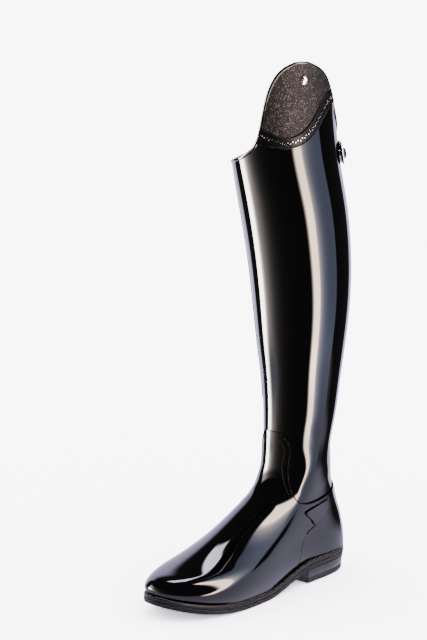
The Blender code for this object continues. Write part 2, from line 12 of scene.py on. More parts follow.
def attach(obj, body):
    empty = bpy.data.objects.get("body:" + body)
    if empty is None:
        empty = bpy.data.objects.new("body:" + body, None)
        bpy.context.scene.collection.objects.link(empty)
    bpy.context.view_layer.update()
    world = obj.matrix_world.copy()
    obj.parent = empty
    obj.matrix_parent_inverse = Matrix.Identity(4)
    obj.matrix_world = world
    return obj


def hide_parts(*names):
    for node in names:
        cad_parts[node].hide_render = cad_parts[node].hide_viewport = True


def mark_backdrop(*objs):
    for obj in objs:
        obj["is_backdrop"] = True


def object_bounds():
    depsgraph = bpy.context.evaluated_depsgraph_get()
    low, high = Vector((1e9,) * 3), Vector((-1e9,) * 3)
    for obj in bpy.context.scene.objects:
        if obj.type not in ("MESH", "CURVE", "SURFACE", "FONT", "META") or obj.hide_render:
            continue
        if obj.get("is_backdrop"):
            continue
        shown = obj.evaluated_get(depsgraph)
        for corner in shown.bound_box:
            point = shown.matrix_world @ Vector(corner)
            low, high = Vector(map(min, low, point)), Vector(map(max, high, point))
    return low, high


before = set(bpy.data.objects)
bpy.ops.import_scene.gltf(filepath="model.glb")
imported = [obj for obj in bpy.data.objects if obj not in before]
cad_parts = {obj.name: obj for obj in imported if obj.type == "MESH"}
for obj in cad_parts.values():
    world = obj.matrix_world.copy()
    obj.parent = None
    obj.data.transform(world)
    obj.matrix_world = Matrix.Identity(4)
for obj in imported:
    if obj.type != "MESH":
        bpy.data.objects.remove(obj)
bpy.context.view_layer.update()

# Upper. Black patent side leather, lasted over the foot and blocked to the leg, lined in tan calf.
# The foot and the leg are one form here, a smooth run of sections from the feather line to the collar.

# Driving sizes of the last
SOLE_LENGTH = 0.2780
BACK_Y = 0.0420
HALF_BALL = 0.0460
ANKLE_HEIGHT = 0.1500
SHAFT_HEIGHT = 0.4500
CALF_DEPTH = 0.1250
HALF_CALF = 0.0510
TOE_SWING = 0.0074

# Driving sizes of the bottom
SOLE_THICK = 0.0050
WELT_THICK = 0.0040
HEEL_RISE = 0.0160
LIFT_THICK = 0.0055
TOE_SPRING = 0.0155
TREAD_FRONT = -0.1390
TREAD_REAR = -0.1130
BREAST_Y = -0.0405

# Driving sizes of the leather work
GAP = 0.0003
WALL = 0.0022
OVERLAY = 0.0011
STRAP_THICK = 0.0018
SLOT_BASE = 0.0486
STRAP_LOW = 0.4410
STRAP_HIGH = 0.4630

# Sections of the foot, from the feather line up to the ankle. Columns: reach of the front from the
# sole's back and its height, the same for the back, then half-widths at the tip, outer ball, inner
# ball, outer waist, inner waist and heel. Reaches are shares of SOLE_LENGTH, heights of
# ANKLE_HEIGHT and half-widths of HALF_BALL.
FOOT_SECTIONS = (
    (0.965, 0.000, 0.0040, 0.000, 1.161, 0.893, 0.890, 0.673, 0.642, 1.293),
    (0.991, 0.186, 0.0099, 0.267, 1.262, 1.001, 0.980, 0.727, 0.673, 1.295),
    (0.973, 0.242, 0.0186, 0.360, 1.163, 0.990, 0.950, 0.727, 0.708, 1.229),
    (0.904, 0.279, 0.0327, 0.447, 1.009, 0.913, 0.874, 0.717, 0.719, 1.123),
    (0.796, 0.339, 0.0516, 0.533, 0.845, 0.815, 0.783, 0.707, 0.708, 1.015),
    (0.681, 0.433, 0.0676, 0.613, 0.736, 0.739, 0.697, 0.696, 0.709, 0.930),
    (0.569, 0.541, 0.0827, 0.693, 0.664, 0.699, 0.632, 0.691, 0.724, 0.847),
    (0.470, 0.648, 0.0931, 0.780, 0.645, 0.703, 0.620, 0.696, 0.749, 0.785),
    (0.408, 0.781, 0.1013, 0.880, 0.681, 0.742, 0.676, 0.696, 0.766, 0.750),
)

# Sections of the leg. Columns: height as a share of SHAFT_HEIGHT, reach of the front and of the
# back from the sole's back as shares of CALF_DEPTH, half-width as a share of HALF_CALF.
LEG_SECTIONS = (
    (0.333, 0.873, 0.244, 0.646),
    (0.389, 0.873, 0.209, 0.691),
    (0.462, 0.889, 0.179, 0.747),
    (0.556, 0.939, 0.155, 0.852),
    (0.667, 0.998, 0.137, 0.952),
    (0.778, 1.080, 0.162, 1.005),
    (0.889, 1.193, 0.242, 1.026),
    (1.000, 1.319, 0.348, 0.985),
    (1.211, 1.443, 0.456, 0.944),
)

# Height of the collar round the leg. Columns: turn in degrees from the front toward the outer
# side, height as a share of SHAFT_HEIGHT. The high part is the arched flap.
COLLAR = (
    (-180.0, 1.042), (-165.0, 1.038), (-143.0, 1.022), (-124.0, 1.008), (-90.0, 0.991),
    (-50.0, 0.984), (-19.0, 0.994), (-6.0, 1.001), (7.5, 1.015), (20.8, 1.045),
    (27.0, 1.080), (32.7, 1.121), (40.8, 1.164), (50.5, 1.192), (59.9, 1.205),
    (74.5, 1.213), (85.3, 1.206), (96.2, 1.195), (111.2, 1.156), (120.3, 1.112),
    (138.5, 1.064), (155.0, 1.040), (180.0, 1.042),
)

# Sole outline. Columns: half-widths as shares of HALF_BALL at the tip, outer ball, inner ball,
# outer waist, inner waist and heel.
SOLE_WIDTHS = (1.305, 0.985, 0.960, 0.790, 0.720, 1.360)
WIDTH_STOPS = (0.0, 0.30, 0.65, 1.0)
SWING_START, SWING_RUN = -0.089, 0.140
HEEL_RAMP_END = BREAST_Y + 0.012
# The leg's half-widths at the same stops, as shares of its own half-width
LEG_WIDTHS = (0.95, 0.985, 0.985, 1.02, 1.02, 1.0)

# Seam lines in side view, as (y, z) in millimetres
VAMP_EDGE = (
    (-66.0, 163.8), (-63.5, 157.9), (-60.6, 149.0), (-61.2, 134.0), (-63.4, 118.0),
    (-65.2, 104.0), (-63.4, 96.0), (-53.0, 90.2), (-36.0, 88.2), (-17.0, 89.0), (-3.0, 90.4),
)
COUNTER_EDGE = (
    (-3.4, 84.0), (-5.6, 75.5), (-12.6, 69.0), (-21.5, 64.0), (-34.0, 60.0), (-47.0, 54.0),
    (-52.0, 46.0), (-54.0, 40.0), (-55.4, 32.0), (-58.0, 20.0), (-60.0, 0.0),
)
COUNTER_TOP = ((-1.0, 90.0), (6.0, 92.0), (14.0, 97.0), (60.0, 99.0))
SPUR_OUTLINE = (
    (-49.6, 79.0), (-48.6, 80.2), (-41.6, 81.6), (-22.7, 83.8), (-8.9, 85.2), (-7.2, 80.0),
    (-9.0, 75.0), (-14.0, 70.2), (-22.0, 65.6), (-31.5, 62.4), (-33.4, 63.8), (-38.0, 69.2),
    (-47.5, 76.3),
)
CALF_PANEL_EDGE = (
    (-78.0, 262.0), (-71.6, 235.0), (-62.0, 212.0), (-52.0, 196.0), (-36.0, 177.0),
    (-18.8, 163.0), (-1.9, 150.0), (12.0, 141.0), (40.0, 136.0),
)
GLITTER_EDGE = (
    (-145.0, 489.0), (-122.9, 481.0), (-115.8, 475.7), (-107.5, 473.0), (-97.8, 475.4),
    (-86.3, 484.4), (-75.2, 498.8), (-66.6, 510.5), (-51.7, 518.5), (-30.0, 521.0),
)
BAND_EDGE = (
    (-145.0, 467.0), (-120.5, 464.6), (-110.6, 461.8), (-100.3, 462.5), (-85.4, 469.7),
    (-74.5, 480.7), (-66.0, 491.0), (-56.0, 500.5), (-44.0, 507.0), (-30.0, 510.0),
)


def ease(x):
    x = np.clip(x, 0.0, 1.0)
    return x * x * (3.0 - 2.0 * x)


def sole_bottom(y):
    """Height of the sole's underside: level under the ball, lifted by the toe spring and the heel."""
    toe = np.maximum(0.0, (TREAD_FRONT - y) / (TREAD_FRONT - BACK_Y + SOLE_LENGTH))
    return TOE_SPRING * toe * toe + HEEL_RISE * ease((y - TREAD_REAR) / (HEEL_RAMP_END - TREAD_REAR))


def feather(y):
    """Height of the line where the upper meets the welt."""
    return sole_bottom(y) + SOLE_THICK + WELT_THICK + 2.0 * GAP


def half_width(c, outer, widths):
    """Half-width at the share c of a section's chord, through its width stops."""
    share = []
    for k, stop in enumerate(WIDTH_STOPS):
        factors = [(c - other) / (stop - other) for j, other in enumerate(WIDTH_STOPS) if j != k]
        share.append(np.prod(factors, axis=0))
    tip, ball_out, ball_in, waist_out, waist_in, heel = widths
    ball, waist = np.where(outer, ball_out, ball_in), np.where(outer, waist_out, waist_in)
    return tip * share[0] + ball * share[1] + waist * share[2] + heel * share[3]


def centre(y):
    """The last's centre line, which swings inward toward the toe."""
    run = np.maximum(0.0, (SWING_START - y) / SWING_RUN)
    return -TOE_SWING * run * run


def spline(stops, values):
    """Natural cubic spline through rows of values: returns a function of an array of stops."""
    stops, values = np.array(stops, float), np.array(values, float)
    n, step = len(stops), np.diff(stops)
    left, right = np.zeros((n, n)), np.zeros_like(values)
    left[0, 0] = left[-1, -1] = 1.0
    for i in range(1, n - 1):
        left[i, i - 1 : i + 2] = step[i - 1], 2.0 * (step[i - 1] + step[i]), step[i]
        rise = (values[i + 1] - values[i]) / step[i] - (values[i] - values[i - 1]) / step[i - 1]
        right[i] = 3.0 * rise
    bend = np.linalg.solve(left, right)

    def at(stop):
        stop = np.asarray(stop, float)
        i = np.clip(np.searchsorted(stops, stop, side="right") - 1, 0, n - 2)
        d, h = (stop - stops[i])[..., None], step[i][..., None]
        slope = (values[i + 1] - values[i]) / h - h * (2.0 * bend[i] + bend[i + 1]) / 3.0
        return values[i] + slope * d + bend[i] * d * d + (bend[i + 1] - bend[i]) / (3.0 * h) * d**3

    return at


def section_rows():
    rows = []
    for front, front_z, back, back_z, *widths in FOOT_SECTIONS:
        front_y, back_y = BACK_Y - front * SOLE_LENGTH, BACK_Y - back * SOLE_LENGTH
        low_front = front_z * ANKLE_HEIGHT or float(feather(front_y))
        low_back = back_z * ANKLE_HEIGHT or float(feather(back_y))
        rows.append([front_y, low_front, back_y, low_back] + [w * HALF_BALL for w in widths])
    for height, front, back, half in LEG_SECTIONS:
        z, ring = height * SHAFT_HEIGHT, [share * half * HALF_CALF for share in LEG_WIDTHS]
        rows.append([BACK_Y - front * CALF_DEPTH, z, BACK_Y - back * CALF_DEPTH, z] + ring)
    return rows


ROWS = section_rows()
STOPS = [0.0]
for low, high in zip(ROWS, ROWS[1:]):
    STOPS.append(STOPS[-1] + (math.dist(low[:2], high[:2]) + math.dist(low[2:4], high[2:4])) / 2.0)
SECTION = spline(STOPS, ROWS)
ANKLE_STOP = STOPS[len(FOOT_SECTIONS)]
around = [(a - 360.0, h) for a, h in COLLAR[:-1]] + list(COLLAR) + [(a + 360.0, h) for a, h in COLLAR[1:]]
COLLAR_AT = spline([a for a, h in around], [[h * SHAFT_HEIGHT] for a, h in around])
LEG_STOPS = np.linspace(ANKLE_STOP, STOPS[-1], 300)
LEG_HEIGHTS = SECTION(LEG_STOPS)[:, 1]


def skin(stop, turn):
    """Points of the boot's outer skin. Turns run in degrees from the toe over the outer side."""
    stop, turn = np.broadcast_arrays(np.asarray(stop, float), np.asarray(turn, float))
    columns = np.moveaxis(SECTION(stop), -1, 0)
    front_y, front_z, back_y, back_z = columns[:4]
    c, side = (1.0 - np.cos(np.radians(turn))) / 2.0, np.sin(np.radians(turn))
    y = front_y + (back_y - front_y) * c
    z = front_z + (back_z - front_z) * c
    low = ROWS[0]
    fade = np.maximum(0.0, 1.0 - stop / STOPS[4])
    drop = feather(low[0] + (low[2] - low[0]) * c) - low[1] - (low[3] - low[1]) * c
    x = centre(y) + side * half_width(c, side >= 0.0, columns[4:])
    return np.stack([x, y, z + fade * fade * drop], -1)


UP_STEP, TURN_STEP = 0.001, 0.2


def normal(stop, turn):
    """Outward directions of the skin, level at the feather line."""
    stop, turn = np.broadcast_arrays(np.asarray(stop, float), np.asarray(turn, float))
    low = np.maximum(0.0, stop - UP_STEP / 2.0)
    along = skin(stop, turn + TURN_STEP) - skin(stop, turn - TURN_STEP)
    out = np.cross(along, skin(low + UP_STEP, turn) - skin(low, turn))
    out[..., 2] = np.where(stop <= UP_STEP, 0.0, out[..., 2])
    return out / np.linalg.norm(out, axis=-1, keepdims=True)


def stop_at(height):
    return np.interp(height, LEG_HEIGHTS, LEG_STOPS)


def stop_of(row, turn):
    """Spline stop of a row: shares of the foot up to 1, then equal shares of the way to the collar."""
    row, turn = np.broadcast_arrays(np.asarray(row, float), np.asarray(turn, float))
    top = COLLAR_AT((turn + 180.0) % 360.0 - 180.0)[..., 0]
    low = LEG_HEIGHTS[0]
    return np.where(row <= 1.0, row * ANKLE_STOP, stop_at(low + (top - low) * (row - 1.0)))


def lifted(stop, turn, out):
    """Points at a distance off the skin. At the feather line they keep their height over the welt."""
    start = skin(stop, turn)
    point = start + normal(stop, turn) * out
    point[..., 2] += np.where(stop <= UP_STEP, feather(point[..., 1]) - feather(start[..., 1]), 0.0)
    return point


def row_at(height, turn):
    """Row of the foot at which the skin reaches a height on one column."""
    rows = np.linspace(0.0, 1.0, 400)
    return float(np.interp(height, skin(rows * ANKLE_STOP, turn)[:, 2], rows))


# Creases over the instep. Columns: the trough's y and z on the front, its depth, width and reach
CREASES = (
    (-0.0950, 0.0880, 0.00045, 0.0030, 0.030),
    (-0.0850, 0.0990, 0.00055, 0.0032, 0.034),
    (-0.0755, 0.1120, 0.00050, 0.0036, 0.032),
    (-0.0690, 0.1290, 0.00040, 0.0042, 0.030),
)
INSTEP_RISE = (0.62, 0.78)
CREASE_BOW = 1.6
INSTEP_END = -0.045


def creased(points, normals):
    """Soft troughs that wear presses into the leather over the instep, where the ankle bends."""
    moved = points.copy()
    for y, z, deep, width, reach in CREASES:
        along, up = (points[..., 1] - y) * INSTEP_RISE[0], (points[..., 2] - z) * INSTEP_RISE[1]
        across = along + up + CREASE_BOW * points[..., 0] ** 2
        fade = np.exp(-((points[..., 0] / reach) ** 2)) * (points[..., 1] < INSTEP_END)
        moved -= normals * (deep * fade * np.exp(-((across / width) ** 2)))[..., None]
    return moved


def linear(code):
    """Linear colour from an sRGB hex code."""
    parts = [int(code[i : i + 2], 16) / 255.0 for i in (1, 3, 5)]
    return (*[p / 12.92 if p <= 0.04045 else ((p + 0.055) / 1.055) ** 2.4 for p in parts], 1.0)


def add(tree, kind, links=(), **settings):
    """Adds one node. A setting is a field or a socket's value; a link is (input, other node, its output)."""
    made = tree.nodes.new(kind)
    for key, value in settings.items():
        if hasattr(made, key):
            setattr(made, key, value)
        else:
            made.inputs[key.replace("_", " ")].default_value = value
    for socket, other, output in links:
        tree.links.new(other.outputs[output], made.inputs[socket])
    return made


def finish_of(name, colour, roughness, bump=(), **settings):
    """Surface with a Principled shader, and a bump of noise of (grain in mm, depth in mm, detail)."""
    made = bpy.data.materials.new(name)
    made.use_nodes = True
    tree = made.node_tree
    shader = tree.nodes["Principled BSDF"]
    shader.inputs["Base Color"].default_value = linear(colour)
    shader.inputs["Roughness"].default_value = roughness
    for key, value in settings.items():
        shader.inputs[key.replace("_", " ")].default_value = value
    place = add(tree, "ShaderNodeTexCoord")
    before = None
    for grain, depth, detail in bump:
        noise = add(
            tree, "ShaderNodeTexNoise", [("Vector", place, "Object")], Scale=1000.0 / grain, Detail=detail,
        )
        links = [("Height", noise, "Fac")] + ([("Normal", before, "Normal")] if before else [])
        before = add(tree, "ShaderNodeBump", links, Distance=depth / 1000.0, Strength=1.0)
    if before:
        tree.links.new(before.outputs["Normal"], shader.inputs["Normal"])
    return made, tree, shader, place


# Patent: black leather under a clear poured film, which gives sharp mirror reflections that waver a little
PATENT, *_ = finish_of(
    "patent_leather", "#060607", 0.6, bump=((28.0, 0.045, 1.0), (7.0, 0.004, 1.0)),
    Specular_IOR_Level=0.0, Coat_Weight=1.0, Coat_Roughness=0.025, Coat_IOR=1.5,
)
# Lining: tan aniline calf, smooth and dull, with a fine grain
LINING, *_ = finish_of(
    "lining_calf", "#e8965a", 0.6, bump=((1.6, 0.05, 4.0),), Specular_IOR_Level=0.2, IOR=1.25,
)


def linked(name, data):
    """New object in the scene that shows a mesh, curve or camera."""
    made = bpy.data.objects.new(name, data)
    bpy.context.scene.collection.objects.link(made)
    return made


def mesh_piece(name, points, faces, *finishes, slot):
    """Piece of the boot from points and faces, with its materials. The slot argument is not used."""
    mesh = bpy.data.meshes.new(name)
    mesh.from_pydata([tuple(map(float, p)) for p in points], [], faces)
    mesh.update()
    for finish in finishes:
        mesh.materials.append(finish)
    made = linked(name, mesh)
    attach(made, "boot")
    return made


def smooth(obj):
    obj.data.polygons.foreach_set("use_smooth", [True] * len(obj.data.polygons))
    return obj


def pick(obj):
    """Selects one object alone, for the operators."""
    bpy.ops.object.select_all(action="DESELECT")
    obj.select_set(True)
    bpy.context.view_layer.objects.active = obj


def sheet_grid(turns, rows, lift, thick, loop=False, skip=None, by=stop_of, worn=False):
    """Outer and inner layers over the skin: points, outer normals, outer, inner and rim faces."""
    turns, rows = np.asarray(turns, float), np.asarray(rows, float)
    stops = by(rows[:, None], turns[None, :])
    across = np.broadcast_to(turns[None, :], stops.shape)
    normals = normal(stops, across)
    layers = [lifted(stops, across, out) for out in (lift + thick, lift)]
    if worn:
        layers = [creased(layer, normals) for layer in layers]
    wide, tall = len(turns), len(rows)
    size = wide * tall
    outer, inner, edges = [], [], {}
    for i in range(tall - 1):
        for j in range(wide if loop else wide - 1):
            if skip is not None and skip(rows[i], turns[j]):
                continue
            k = (j + 1) % wide
            cell = (i * wide + j, i * wide + k, (i + 1) * wide + k, (i + 1) * wide + j)
            outer.append(cell)
            inner.append(tuple(p + size for p in reversed(cell)))
            for a, b in zip(cell, cell[1:] + cell[:1]):
                if (b, a) in edges:
                    del edges[(b, a)]
                else:
                    edges[(a, b)] = True
    rim = [(b, a, a + size, b + size) for a, b in edges]
    points = np.concatenate([layer.reshape(-1, 3) for layer in layers])
    return points, normals.reshape(-1, 3), outer, inner, rim


def compact(points, faces):
    used = sorted({p for face in faces for p in face})
    order = {p: n for n, p in enumerate(used)}
    return points[used], [tuple(order[p] for p in face) for face in faces]


ALONG_SKIN = 0.8


def as_lasted(obj, grid):
    """The cut piece's outer and inner faces take the lasted skin's own normals, its edges stay crisp."""
    points, normals, outer, *_ = grid
    size = len(normals)
    flat = [Vector(p) for p in points[:size]]
    tree = BVHTree.FromPolygons(flat, outer)
    mesh = obj.data
    found = []
    for vertex in mesh.vertices:
        spot, _, index, _ = tree.find_nearest(vertex.co)
        corners = outer[index]
        shares = poly_3d_calc([flat[c] for c in corners], spot)
        found.append(Vector(sum(share * normals[c] for share, c in zip(shares, corners))).normalized())
    loops = []
    for face in mesh.polygons:
        for out in (found[corner] for corner in face.vertices):
            facing = face.normal.dot(out)
            loops.append(face.normal if abs(facing) <= ALONG_SKIN else out if facing > 0.0 else -out)
    smooth(obj)
    mesh.normals_split_custom_set(loops)


# Rows run from the feather line (0) by the ankle (1) to the collar (2), and columns are in degrees
SLOT_ROW = row_at(SLOT_BASE, 180.0)
SLOT_SIDES = (175.0, 185.0)
FOOT_ROWS = np.linspace(0.0, 1.0, 58)
LEG_ROWS = np.linspace(1.0, 2.0, 100)[1:]
ALL_ROWS = np.array(sorted([*FOOT_ROWS, *LEG_ROWS, SLOT_ROW]))
TURNS = np.array(sorted([*np.arange(1.25, 360.0, 2.5), *SLOT_SIDES]))


def in_slot(row, turn):
    """Whether a column's cell lies in the back slot, which the zip closes."""
    return SLOT_SIDES[0] - 0.1 < turn < SLOT_SIDES[1] - 0.1 and row >= SLOT_ROW - 1e-6


grid = sheet_grid(TURNS, ALL_ROWS, -WALL, WALL, loop=True, skip=in_slot, worn=True)
points, faces = compact(grid[0], grid[2] + grid[3] + grid[4])
upper = mesh_piece("lasted_upper", points, faces, PATENT, LINING, slot="patent_leather")
for number in range(len(grid[2]), len(grid[2]) + len(grid[3])):
    upper.data.polygons[number].material_index = 1
as_lasted(upper, grid)
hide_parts("upper")


# Foot pieces. Vamp, quarters, heel band and spur rests are patent leather with turned edges, laid
# over the leg leather and sewn down. Each is cut from the last's own surface along its seam.
LOW_ROW = 0.004
REACH = 0.1  # how far a hidden cutter runs past the boot's middle


def flowing(points, parts=8):
    """Smooth line through a seam's points."""
    steps = np.concatenate([[0.0], np.cumsum(np.linalg.norm(np.diff(np.array(points), axis=0), axis=1))])
    line = spline(steps, points)(np.linspace(0.0, steps[-1], parts * (len(points) - 1) + 1))
    return [tuple(p) for p in line]


def stacked(start, sides, rings):
    """Faces of a closed stack of rings of points, whose first point has the number start."""
    faces = [tuple(start + k for k in reversed(range(sides)))]
    for low in range(start, start + (rings - 1) * sides, sides):
        for k in range(sides):
            n = (k + 1) % sides
            faces.append((low + k, low + n, low + sides + n, low + sides + k))
    return faces + [tuple(start + (rings - 1) * sides + k for k in range(sides))]


def prism(name, outline, low, high, flat="x"):
    """Hidden cutter from an outline in mm: (y, z) run across from low to high, or (x, z) run along y."""
    ring = [(a / 1000.0, b / 1000.0) for a, b in outline]
    area = sum(a * d - b * c for (a, b), (c, d) in zip(ring, ring[1:] + ring[:1]))
    if (area > 0.0) != (flat == "x"):
        ring.reverse()
    points = [(run, a, b) if flat == "x" else (a, run, b) for run in (low, high) for a, b in ring]
    mesh = bpy.data.meshes.new(name)
    mesh.from_pydata(points, [], stacked(0, len(ring), 2))
    return linked(name, mesh)


def cut_from_skin(name, finish, turns, rows, lift, thick, node, cuts=(), slot="patent_leather", **grid_ways):
    """Piece cut from the skin by hidden prisms, each kept or taken away. It replaces a node."""
    grid = sheet_grid(turns, rows, lift, thick, **grid_ways)
    points, faces = compact(grid[0], grid[2] + grid[3] + grid[4])
    made = mesh_piece(name, points, faces, finish, slot=slot)
    pick(made)
    for cutter, operation in cuts:
        cut = made.modifiers.new(cutter.name, "BOOLEAN")
        cut.operation, cut.solver, cut.object = operation, "EXACT", cutter
        bpy.ops.object.modifier_apply(modifier=cut.name)
        bpy.data.objects.remove(cutter)
    as_lasted(made, grid)
    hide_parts(node)


def shift(outline, dy, dz):
    return [(y + dy, z + dz) for y, z in outline]


VAMP_LINE, COUNTER_LINE = flowing(VAMP_EDGE), flowing(COUNTER_EDGE)
far_corners = [(120.0, -5.0), (120.0, 400.0), (-260.0, 400.0), (-260.0, 163.8)]
vamp_cut = prism("vamp_cut", VAMP_LINE + shift(COUNTER_LINE, -0.4, 0.0) + far_corners, -REACH, REACH)
VAMP_TOP_ROW = 1.09
vamp_rows = np.concatenate([[LOW_ROW], ALL_ROWS[(ALL_ROWS > 0.006) & (ALL_ROWS <= VAMP_TOP_ROW)]])
cut_from_skin(
    "vamp_leather", PATENT, TURNS, vamp_rows, GAP, OVERLAY, "vamp", [(vamp_cut, "DIFFERENCE")],
    loop=True, worn=True,
)
heel_rows = np.concatenate([[LOW_ROW], FOOT_ROWS[1:]])
outer_heel = np.arange(84.0, 164.5, 2.01)
counter_keep = list(reversed(COUNTER_LINE)) + flowing(COUNTER_TOP[:3]) + [(60.0, 99.0), (60.0, -5.0)]
for side, turns in (("outer", outer_heel), ("inner", 360.0 - outer_heel[::-1])):
    keep = prism("counter_keep", counter_keep, -REACH, REACH)
    band_gap = prism("band_gap", [(-18.4, -5.0), (18.4, -5.0), (18.4, 49.0), (-18.4, 49.0)], 0.0, REACH, "y")
    cut_from_skin(
        f"quarter_{side}", PATENT, turns, heel_rows, GAP, OVERLAY, f"counter_{side}",
        [(keep, "INTERSECT"), (band_gap, "DIFFERENCE")],
    )
band_outline = [
    (-18.0, -5.0), (18.0, -5.0), (18.0, 42.5), (17.6, 44.8), (16.5, 46.6), (14.7, 47.8), (12.5, 48.4),
    (-12.5, 48.4), (-14.7, 47.8), (-16.5, 46.6), (-17.6, 44.8), (-18.0, 42.5),
]
BAND_THICK, SPUR_THICK = 0.0015, 0.0016
cut_from_skin(
    "heel_band_leather", PATENT, np.arange(144.0, 216.1, 2.0), heel_rows, GAP, BAND_THICK, "heel_band",
    [(prism("band_keep", band_outline, 0.0, REACH, "y"), "INTERSECT")],
)
SECOND_LAYER = GAP + OVERLAY + GAP
spur_turns = np.arange(86.0, 146.1, 2.0)
for side, turns in (("outer", spur_turns), ("inner", 360.0 - spur_turns[::-1])):
    cut_from_skin(
        f"spur_wedge_{side}", PATENT, turns, heel_rows, SECOND_LAYER, SPUR_THICK, f"spur_rest_{side}",
        [(prism("spur_keep", SPUR_OUTLINE, -REACH, REACH), "INTERSECT")],
    )

# Calf panel. The inner half of the leg is faced with leather that grips the saddle, laid over the
# leg leather behind two rows of stitches.

# Dull calf: smooth black calf with a natural finish, a fine grain and only a soft sheen
CALF, *_ = finish_of(
    "dull_calf", "#18181b", 0.42, bump=((0.9, 0.03, 3.0), (14.0, 0.06, 1.0)), Specular_IOR_Level=0.4,
    IOR=1.22,
)
PANEL_BACK, PANEL_FRONT, PANEL_LOW_ROW = 195.6, 306.0, 0.86
panel_turns = np.concatenate([[PANEL_BACK], np.arange(197.5, 305.0, 2.5), [PANEL_FRONT]])
panel_away = flowing(CALF_PANEL_EDGE) + [(40.0, 60.0), (-140.0, 60.0), (-140.0, 262.0)]
cut_from_skin(
    "calf_panel_leather", CALF, panel_turns, ALL_ROWS[ALL_ROWS >= PANEL_LOW_ROW], GAP, OVERLAY, "calf_panel",
    [(prism("panel_away", panel_away, -REACH, 0.0), "DIFFERENCE")], "calf_leather",
)

# Zip. A black woven tape behind the slot carries two rows of nylon teeth. Narrow patent facings
# lie along both sides. A strap closes over the top with a snap whose cap is black nickel.

# Tape: black polyester, woven in a fine herringbone
TAPE, tree, shader, place = finish_of("zip_tape", "#101012", 0.8, Specular_IOR_Level=0.2)
WEAVE = 0.55
weave = add(
    tree, "ShaderNodeTexWave", [("Vector", place, "Object")], Scale=1000.0 / WEAVE / 20.0, Distortion=0.5,
)
ridge = add(tree, "ShaderNodeBump", [("Height", weave, "Fac")], Distance=0.0001, Strength=0.8)
tree.links.new(ridge.outputs["Normal"], shader.inputs["Normal"])
# Teeth: black nylon. Fittings: plated brass, polished nickel and, on the snap's cap, black nickel
TEETH, *_ = finish_of("nylon_teeth", "#1c1c1e", 0.35, Specular_IOR_Level=0.5)
NICKEL, *_ = finish_of("polished_nickel", "#c8c6c3", 0.2, bump=((3.0, 0.004, 2.0),), Metallic=1.0)
BLACK_NICKEL, *_ = finish_of("black_nickel", "#2a2a2e", 0.16, bump=((3.0, 0.004, 2.0),), Metallic=1.0)
SLOT_ROWS = np.concatenate([[row_at(SLOT_BASE + 0.0009, 180.0)], ALL_ROWS[ALL_ROWS > SLOT_ROW + 0.01]])
TAPE_THICK = 0.0009
STRAP_END, STRAP_CORNER_END, STRAP_CORNER = 124.0, 133.0, 0.007
SNAP_HEIGHT = (STRAP_LOW + STRAP_HIGH) / 2.0


def strap_stop(share, turns):
    """Heights across the strap, whose outer end has rounded corners."""
    from_end = np.clip((turns - STRAP_END) / (STRAP_CORNER_END - STRAP_END), 0.0, 1.0)
    half = (STRAP_HIGH - STRAP_LOW) / 2.0 - STRAP_CORNER * (1.0 - np.sqrt(1.0 - (1.0 - from_end) ** 2))
    return stop_at(SNAP_HEIGHT + share * half)


for side, low, high in (("outer", 165.2, SLOT_SIDES[0]), ("inner", SLOT_SIDES[1], 194.8)):
    cut_from_skin(
        f"facing_{side}", PATENT, np.linspace(low, high, 8), SLOT_ROWS, GAP, OVERLAY, f"zip_facing_{side}",
    )
cut_from_skin(
    "woven_tape", TAPE, np.linspace(165.0, 195.0, 19), SLOT_ROWS, -WALL - GAP - TAPE_THICK, TAPE_THICK,
    "zip_tape", slot="zip_tape",
)
strap_turns = np.concatenate([np.linspace(STRAP_END, STRAP_CORNER_END, 14), np.linspace(134.0, 202.0, 48)])
cut_from_skin(
    "closing_strap", PATENT, strap_turns, np.linspace(-1.0, 1.0, 9), GAP + SECOND_LAYER, STRAP_THICK,
    "snap_strap", by=strap_stop,
)


def frame_at(height, turn, out):
    """Origin and the across, up and outward directions of a small piece that sits on the skin."""
    stop = stop_at(height)
    outward = normal(stop, turn)
    across = np.cross((0.0, 0.0, 1.0), outward)
    across /= np.linalg.norm(across)
    return skin(stop, turn) + outward * out, across, np.cross(outward, across), outward


TOOTH_PITCH, TOOTH_NEAR, TOOTH_FAR, TEETH_TOP = 0.0016, 0.0004, 0.0021, 0.4495
points, faces = [], []
for number, z in enumerate(np.arange(SLOT_BASE + 0.0015, TEETH_TOP, TOOTH_PITCH / 2.0)):
    origin, across, up, outward = frame_at(z, 180.0, 0.0)
    near, far = (TOOTH_NEAR, -TOOTH_FAR) if number % 2 else (-TOOTH_NEAR, TOOTH_FAR)
    start = len(points)
    for out, half in ((-0.0016, 0.00055), (-0.0004, 0.00036)):
        for a, b in ((near, -half), (far, -half), (far, half), (near, half)):
            points.append(origin + across * a + up * b + outward * out)
    ring = [(0, 1, 2, 3), (7, 6, 5, 4), (0, 4, 5, 1), (1, 5, 6, 2), (2, 6, 7, 3), (3, 7, 4, 0)]
    faces += [tuple(start + k for k in face) for face in ring]
teeth = mesh_piece("coil_teeth", points, faces, TEETH, slot="zip_coil")
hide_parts("zip_coil")


def turned(name, finish, slot, place, profile, node, sides=48):
    """Round piece on the skin from a profile of (radius, outward) pairs."""
    origin, across, up, outward = place
    points = []
    for radius, out in profile:
        for k in range(sides):
            a = 2.0 * math.pi * k / sides
            points.append(origin + across * radius * math.cos(a) + up * radius * math.sin(a) + outward * out)
    made = mesh_piece(name, points, stacked(0, sides, len(profile)), finish, slot=slot)
    pick(made)
    bpy.ops.object.shade_smooth_by_angle(angle=math.radians(40.0))
    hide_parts(node)


def dome(radius, rim, high):
    """Profile of a domed cap with a short straight rim."""
    curve = [(radius * math.cos(a), rim + high * math.sin(a)) for a in np.linspace(0.0, 1.45, 9)]
    return [(radius, 0.0)] + curve


